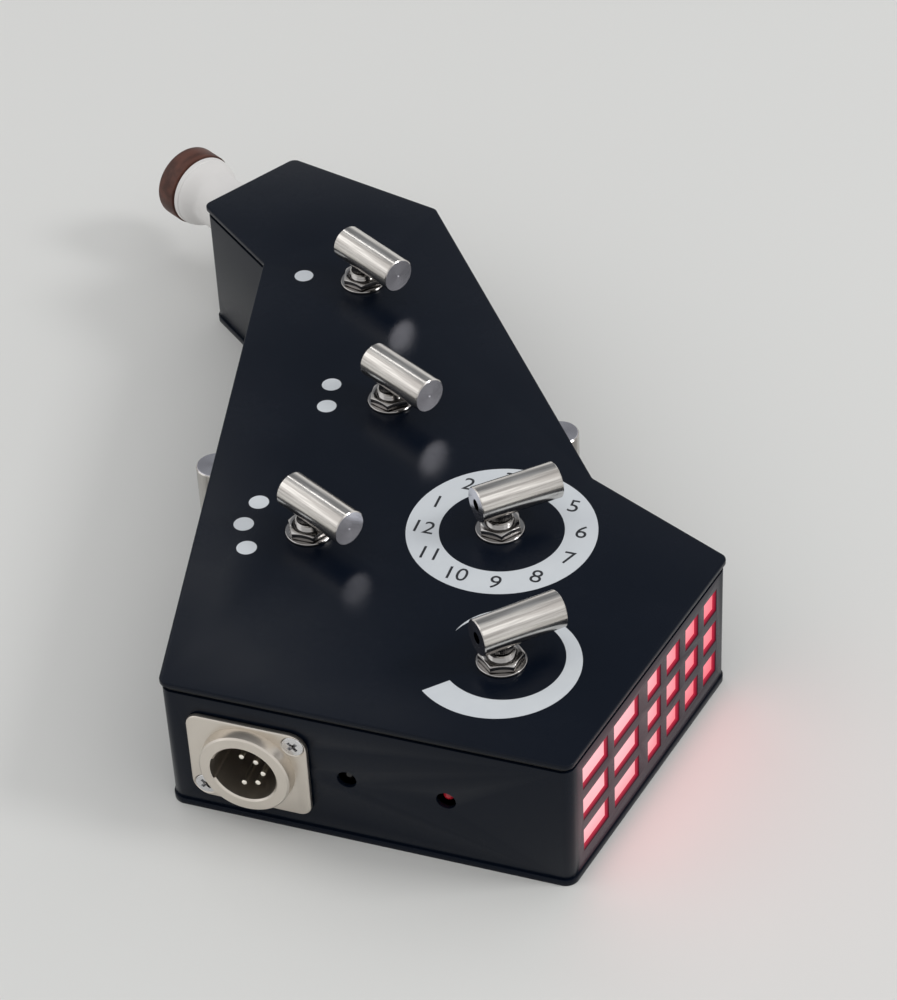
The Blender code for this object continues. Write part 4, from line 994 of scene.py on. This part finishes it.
# Connector
def make_connector(nickel, steel, plastic, gold):
    place = wall_place("front", CONNECTOR_ALONG, CONNECTOR_HEIGHT)
    rim = FLANGE_FACE + COLLAR_HEIGHT
    socket = SOCKET_DIAMETER / 2
    flange = bmesh.new()
    corners = ((-1, -1), (1, -1), (1, 1), (-1, 1))
    points = [flange.verts.new((x * FLANGE_WIDTH / 2, y * FLANGE_HEIGHT / 2, 0.0)) for x, y in corners]
    flange.faces.new(points)
    for pair, radius in ((points[0::2], FLANGE_SCREW_CORNER), (points[1::2], FLANGE_CORNER)):
        bevel(flange, pair, radius, CORNER_STEPS)
    eased(raise_faces(flange, SEAT, FLANGE_FACE), FLANGE_EDGE, 3, radians(60))
    collar = [
        (socket, FLANGE_FACE / 2), (socket, rim - RIM_CHAMFER), (socket + RIM_CHAMFER, rim),
        (COLLAR_DIAMETER / 2 - RIM_CHAMFER, rim), (COLLAR_DIAMETER / 2, rim - RIM_CHAMFER),
        (COLLAR_ROOT / 2, FLANGE_FACE), (COLLAR_ROOT / 2, FLANGE_FACE / 2),
    ]
    shell = combined(flange, rod(socket + SHELL_OVERLAP, -BARREL_DEPTH, rim, NUT_SIDES))
    shell = combined(shell, spun(collar, BAR_SIDES, closed=True), "UNION")
    barrel = [
        (socket, FLANGE_FACE * 0.7), (BARREL_DIAMETER / 2, FLANGE_FACE * 0.7),
        (BARREL_DIAMETER / 2, -BARREL_DEPTH), (socket, -BARREL_DEPTH),
    ]
    shell = combined(shell, spun(barrel, BAR_SIDES, closed=True), "UNION")
    key = rod(socket + KEY_SLOT_DEPTH, -INSERT_FACE, 2 * rim, BAR_SIDES)
    half = KEY_SLOT_WIDTH / 2
    side = block(((-2 * socket, 0.0), (-half, half), (-BARREL_DEPTH, 3 * rim)))
    shell = combined(shell, combined(key, side, "INTERSECT"))
    for index, side in enumerate((1, -1), 1):
        seat = shift(*(CONNECTOR_SCREW * side), FLANGE_FACE - HEAD_SINK)
        slope = (SCREW_HEAD - SCREW_SHANK) / 2
        wide = SCREW_HEAD / 2 + HEAD_MARGIN
        narrow = SCREW_SHANK / 2 + FIT
        sink = [
            (0.0, rim), (wide, rim), (wide, 0.0),
            (narrow, -slope), (narrow, -SCREW_LENGTH), (0.0, -SCREW_LENGTH),
        ]
        shell = combined(shell, placed(spun(sink, SHAFT_SIDES), seat))
        arms = []
        for turn in (CROSS_TURN, CROSS_TURN + pi / 2):
            spans = [(-size / 2, size / 2) for size in (CROSS_SPAN, CROSS_WIDTH, 2 * CROSS_DEPTH)]
            arms.append(placed(block(spans), Matrix.Rotation(turn, 4, "Z")))
        screw = placed(sunk_screw(SCREW_HEAD, arms), place @ seat)
        node = f"connector_screw_{index}"
        add_piece(f"cross_screw_{index}", screw, steel, [node])
    add_piece("socket_shell", placed(shell, place), nickel, ["connector_shell"])
    low = -BARREL_DEPTH + SEAT
    insert = rod(socket - SEAT, low, -INSERT_FACE, NUT_SIDES)
    holes = bmesh.new()
    for index in range(CONTACT_COUNT):
        angle = (index - (CONTACT_COUNT - 1) / 2) * CONTACT_STEP
        centre = (CONTACT_CIRCLE / 2 * cos(angle), CONTACT_CIRCLE / 2 * sin(angle))
        rod(CONTACT_DIAMETER / 2 + FIT, low * 2, 0.0, HOLE_SIDES, centre, holes)
        contact = make_contact(rim)
        placed(contact, place @ shift(*centre))
        node = f"connector_contact_{index + 1}"
        add_piece(f"socket_pin_{index + 1}", contact, gold, [node])
    insert = eased(combined(insert, holes), CUT_EDGE)
    add_piece("socket_block", placed(insert, place), plastic, ["connector_insert"])


def make_contact(rim):
    radius = CONTACT_DIAMETER / 2
    profile = dome(radius, CONTACT_DOME, rim - CONTACT_SETBACK, 6)
    tail = -BARREL_DEPTH - CONTACT_TAIL
    thin = CONTACT_TAIL_DIAMETER / 2
    profile += [(radius, -BARREL_DEPTH), (thin, -BARREL_DEPTH), (thin, tail), (0.0, tail)]
    return spun(profile, ROD_SIDES)


# Indicator lamps
def make_indicator(name, along, finish):
    place = wall_place("front", along, INDICATOR_HEIGHT)
    radius = LAMP_DIAMETER / 2
    foot = -LAMP_SETBACK - LAMP_LENGTH
    profile = dome(radius, radius, -LAMP_SETBACK, 12)
    rim = LAMP_RIM / 2
    shoulder = foot + LAMP_RIM_LENGTH
    profile += [(radius, shoulder), (rim, shoulder), (rim, foot), (0.0, foot)]
    lamp = spun(profile, SHAFT_SIDES)
    half = LEG_WIDTH / 2
    end = heights("main_board")[1] + LEG_END - INDICATOR_HEIGHT
    bend = foot - LEG_RUN
    for side in (-1, 1):
        middle = side * LEG_SPACING / 2
        across = (middle - half, middle + half)
        lamp = combined(lamp, block((across, (-half, half), (bend - half, foot + half))), "UNION")
        lamp = combined(lamp, block((across, (-half, end), (bend - half, bend + half))), "UNION")
    placed(lamp, place)
    add_piece(name + "_lamp", lamp, finish, [name + "_indicator"])


# Grips
def make_grip(name, wall, along):
    face = wall_place(wall, along, GRIP_BOTTOM + GRIP_LENGTH / 2)
    upright = face @ shift(0.0, 0.0, GRIP_AXIS) @ Matrix.Rotation(-pi / 2, 4, "X")
    half = GRIP_LENGTH / 2
    side = side_profile(GRIP_DIAMETER / 2, -half, half, GRIP_CHAMFER)
    grip = placed(spun([(0.0, half), *side, (0.0, -half)], NUT_SIDES), upright)
    wide = GRIP_DIAMETER
    back = block(((-wide, wide), (-GRIP_LENGTH, GRIP_LENGTH), (SEAT - GRIP_DIAMETER, SEAT)))
    grip = combined(grip, placed(back, face))
    spigot = rod(GRIP_SPIGOT / 2, -WALL_THICKNESS - SPIGOT_END, GRIP_AXIS)
    grip = combined(grip, placed(spigot, face), "UNION")
    # Painted shade: the grips get a darker copy of the bar metal
    finish = drawn_aluminium(name + "_grip_metal", upright, GRIP_DIAMETER, 0.72)
    add_piece(name + "_grip_bar", grip, finish, [name + "_touch_grip"])


# Mouthpiece
def make_mouthpiece(satin, steel):
    place = wall_place("mouth", MOUTH_ALONG, MOUTH_HEIGHT)

    def mouth_piece(name, outline, finish, node, sides=BAR_SIDES, closed=True):
        profile = [(radius * MM, height * MM) for radius, height in outline]
        add_piece(name, placed(spun(profile, sides, closed), place), finish, [node])

    (wide, top), (narrow, bottom) = CUP_FLARE
    flare = []
    for step in range(2 * MOUTH_STEPS + 1):
        share = step / (2 * MOUTH_STEPS)
        ease = (1 - cos(pi * share)) / 2
        flare.append((wide + (narrow - wide) * ease, top + (bottom - top) * share))
    cup = (*CUP_INSIDE, *CUP_RIM, *flare, *CUP_FOOT)
    mouth_piece("mouth_cup", cup, satin, "mouthpiece_cup")
    lip = []
    for (centre, height), start in zip(WOOD_MIDDLES, (pi, pi / 2)):
        for step in range(1, MOUTH_STEPS + 1):
            angle = start - pi / 2 * step / MOUTH_STEPS
            lip.append((centre + WOOD_ROUNDING * cos(angle), height + WOOD_ROUNDING * sin(angle)))
    ring = (*WOOD_SEAT, *lip, *WOOD_BACK)
    mouth_piece("mouth_ring", ring, ring_wood(place), "mouthpiece_ring")
    mouth_piece("microphone_can", CAPSULE, steel, "microphone_capsule", DISC_SIDES, False)


# Prints
def ink_piece(name, work, finish):
    raise_faces(work, -INK_ROOT, INK)
    placed(work, shift(0.0, 0.0, heights("top_panel")[1]))
    add_piece(name, work, finish)


def band(centre, inner, outer, start, turn, steps):
    """A flat band round a centre, from a short radial edge."""
    work = bmesh.new()
    ends = [work.verts.new((radius, 0.0, 0.0)) for radius in (inner, outer)]
    edge = work.edges.new(ends)
    spin(work, ends + [edge], turn, steps, turn >= 2 * pi)
    bmesh.ops.recalc_face_normals(work, faces=work.faces)
    return work, shift(*centre) @ Matrix.Rotation(start, 4, "Z")


def make_prints(ink, dark):
    for name, centres in DOTS.items():
        dots = bmesh.new()
        for x, y in centres:
            matrix = shift(x * MM, y * MM)
            bmesh.ops.create_circle(
                dots, cap_ends=True, segments=DISC_SIDES, radius=DOT / 2, matrix=matrix,
            )
        ink_piece(name + "_print", dots, ink)
    centre = control_axis("selector").to_2d() + RING_SHIFT
    ring, place = band(centre, RING_INNER, RING_OUTER, 0.0, 2 * pi, RING_SIDES)
    ink_piece("selector_ring_print", placed(ring, place), ink)
    radius = (RING_INNER + RING_OUTER) / 2
    for mark in range(RING_MARKS):
        angle = FIRST_MARK - mark * 2 * pi / RING_MARKS
        make_number(mark + 1, centre + Vector((cos(angle), sin(angle))) * radius, dark)
    centre = control_axis("level").to_2d()
    inner, outer = CRESCENT_INNER[0] * MM, CRESCENT_OUTER[0] * MM
    crescent, place = band(centre, inner, outer, CRESCENT_START, CRESCENT_TURN, CRESCENT_STEPS)
    for vertex in crescent.verts:
        reach = vertex.co.to_2d().length
        share = atan2(vertex.co.y, vertex.co.x) % (2 * pi) / CRESCENT_TURN
        factors = CRESCENT_OUTER if reach > (inner + outer) / 2 else CRESCENT_INNER
        if share <= 1.01:
            radius = MM * sum(factor * share ** power for power, factor in enumerate(factors))
            vertex.co *= radius / reach
    ink_piece("level_crescent_print", placed(crescent, place), ink)


def make_number(number, where, dark):
    """A plain number, printed over the ring."""
    curve = bpy.data.curves.new(f"number_{number}", "FONT")
    curve.body = str(number)
    curve.size = NUMBER_SIZE
    curve.align_x = "CENTER"
    curve.align_y = "CENTER"
    curve.extrude = INK
    curve.resolution_u = 6
    work = taken_from([add_object(f"number_{number}_guide", curve)], SAME / 10)
    placed(work, shift(*where, heights("top_panel")[1] + INK))
    add_piece(f"selector_number_{number}", work, dark)


# Studio
def make_camera():
    """A long lens, in front of the object and above it, turned a little about its own axis."""
    yaw, pitch, roll = (radians(angle) for angle in CAMERA_ANGLES)
    ahead = Vector((sin(yaw) * cos(pitch), cos(yaw) * cos(pitch), -sin(pitch)))
    right = Vector((cos(yaw), -sin(yaw), 0.0))
    down = ahead.cross(right)
    across = cos(roll) * right + sin(roll) * down
    below = -sin(roll) * right + cos(roll) * down
    turn = Matrix((across, -below, -ahead)).transposed().to_4x4()
    data = bpy.data.cameras.new("camera")
    data.lens = CAMERA_LENS
    data.sensor_width = CAMERA_SENSOR
    camera = add_object("camera", data)
    camera.matrix_world = shift(*CAMERA_PLACE) @ turn
    bpy.context.scene.camera = camera


def softbox(name, place, aim, width, height, radiance, colour=(1.0, 1.0, 1.0), along=(0.0, 0.0, 0.0)):
    """A soft area light of a given brightness, its width along a given direction."""
    data = bpy.data.lights.new(name, "AREA")
    data.shape = "RECTANGLE"
    data.size = width
    data.size_y = height
    data.energy = radiance * pi * width * height
    data.color = colour
    light = add_object(name, data)
    back = (Vector(place) - Vector(aim)).normalized()
    across = Vector(along)
    if not across.length:
        across = Vector((0.0, 0.0, 1.0)).cross(back)
    across = (across - across.dot(back) * back).normalized()
    turn = Matrix((across, back.cross(across), back)).transposed().to_4x4()
    light.matrix_world = shift(*place) @ turn
    light.visible_camera = False


def make_floor():
    work = bmesh.new()
    bmesh.ops.create_grid(work, x_segments=1, y_segments=1, size=6.0)
    mesh = as_mesh(work, "floor")
    look = Look("pale_floor")
    cloud = look.noise(look.coordinates(), 3.0, 2.0)
    colour = look.mix(cloud, (0.690, 0.690, 0.675), (0.715, 0.715, 0.700))
    mesh.materials.append(look.finish(colour, 0.6 + cloud * 0.1))
    floor = add_object("floor", mesh)


def make_world():
    """A pale room, a little darker beyond the far end of the object."""
    look = Look("studio", bpy.data.worlds)
    direction = look.node("TexCoord", output="Generated")
    facing = look.node("VectorMath", {"operation": "DOT_PRODUCT"}, {0: direction, 1: DARK_SIDE}, "Value")
    dark = look.between(facing, *(cos(angle) for angle in DARK_ANGLES))
    colour = look.mix(dark, (0.77, 0.77, 0.77), (0.31, 0.325, 0.345))
    background = look.node("Background", sockets={"Color": colour})
    look.node("OutputWorld", sockets={"Surface": background}, output=None)
    bpy.context.scene.world = look.material


def make_studio():
    middle = (0.0, 0.0, 0.05)
    softbox("right_core", (1.11, 0.19, 0.965), middle, 0.34, 0.34, 14.0)
    softbox("right_wide", (0.88, -0.25, 1.22), middle, 0.8, 0.8, 0.35)
    softbox("left_fill", (-1.25, -0.35, 1.0), middle, 1.2, 1.2, 0.55)
    softbox("back_strip", (-0.63, 0.73, 1.135), middle, 0.5, 0.12, 2.4, along=(0.784, -0.219, 0.58))
    window = wall_place("light", wall_line("light")[3] / 2, WINDOW_MIDDLE)
    start = window @ Vector((0.0, 0.0, GLOW_GAP))
    softbox("window_glow", start, window @ Vector((0.0, 0.0, 1.0)), *GLOW_SIZE, 1.1, (1.0, 0.42, 0.42))
    make_floor()
    make_world()
    bpy.context.scene.view_settings.view_transform = "Standard"


def build():
    paint = panel_paint()
    steel = plated_steel()
    zinc = plated_steel("zinc_plated_screws", (0.80, 0.80, 0.81), 0.2, 0.32)
    black = plated_steel("black_grub_screws", (0.045, 0.045, 0.05), 0.25, 0.4)
    make_panel(paint)
    make_seal(seal_rubber())
    light_wall = wall_place("light", 0.0, 0.0)
    light_length = wall_line("light")[3]
    make_wall_strip(wall_paint(light_wall, light_length))
    make_base(paint, zinc)
    for name in CONTROLS:
        make_bar(name, black)
        make_shaft(name, steel)
        make_can(name, steel)
        make_nut_and_washer(name, steel)
    plastic = black_insert()
    make_connector(nickel_casting(), zinc, plastic, gold_plate())
    # Painted shade: the unlit lens is coloured almost black, so that its hole reads dark
    dark_lens = lens("dark_lens", (0.004, 0.004, 0.004), (0.008, 0.007, 0.007), 0.0)
    red_lens = lens("red_lens", (0.16, 0.005, 0.010), (0.34, 0.012, 0.022), 0.3)
    for (name, along), finish in zip(INDICATORS.items(), (dark_lens, red_lens)):
        make_indicator(name, along, finish)
    for name, (wall, along) in GRIPS.items():
        make_grip(name, wall, along)
    make_mouthpiece(cup_satin(), steel)
    make_prints(print_ink(), number_ink())
    dress("diffuser", lit_acrylic(light_wall, light_length))
    dress("main_board", circuit_board("green_solder_mask", (0.012, 0.085, 0.035), (0.03, 0.16, 0.07)))
    dress("light_board", circuit_board("white_solder_mask", (0.72, 0.72, 0.70), (0.80, 0.80, 0.78)))
    for node in frame["nodes"]:
        if node.endswith("_pillar") or node == "mouthpiece_nut":
            dress(node, steel)


make_camera()
build()
make_studio()
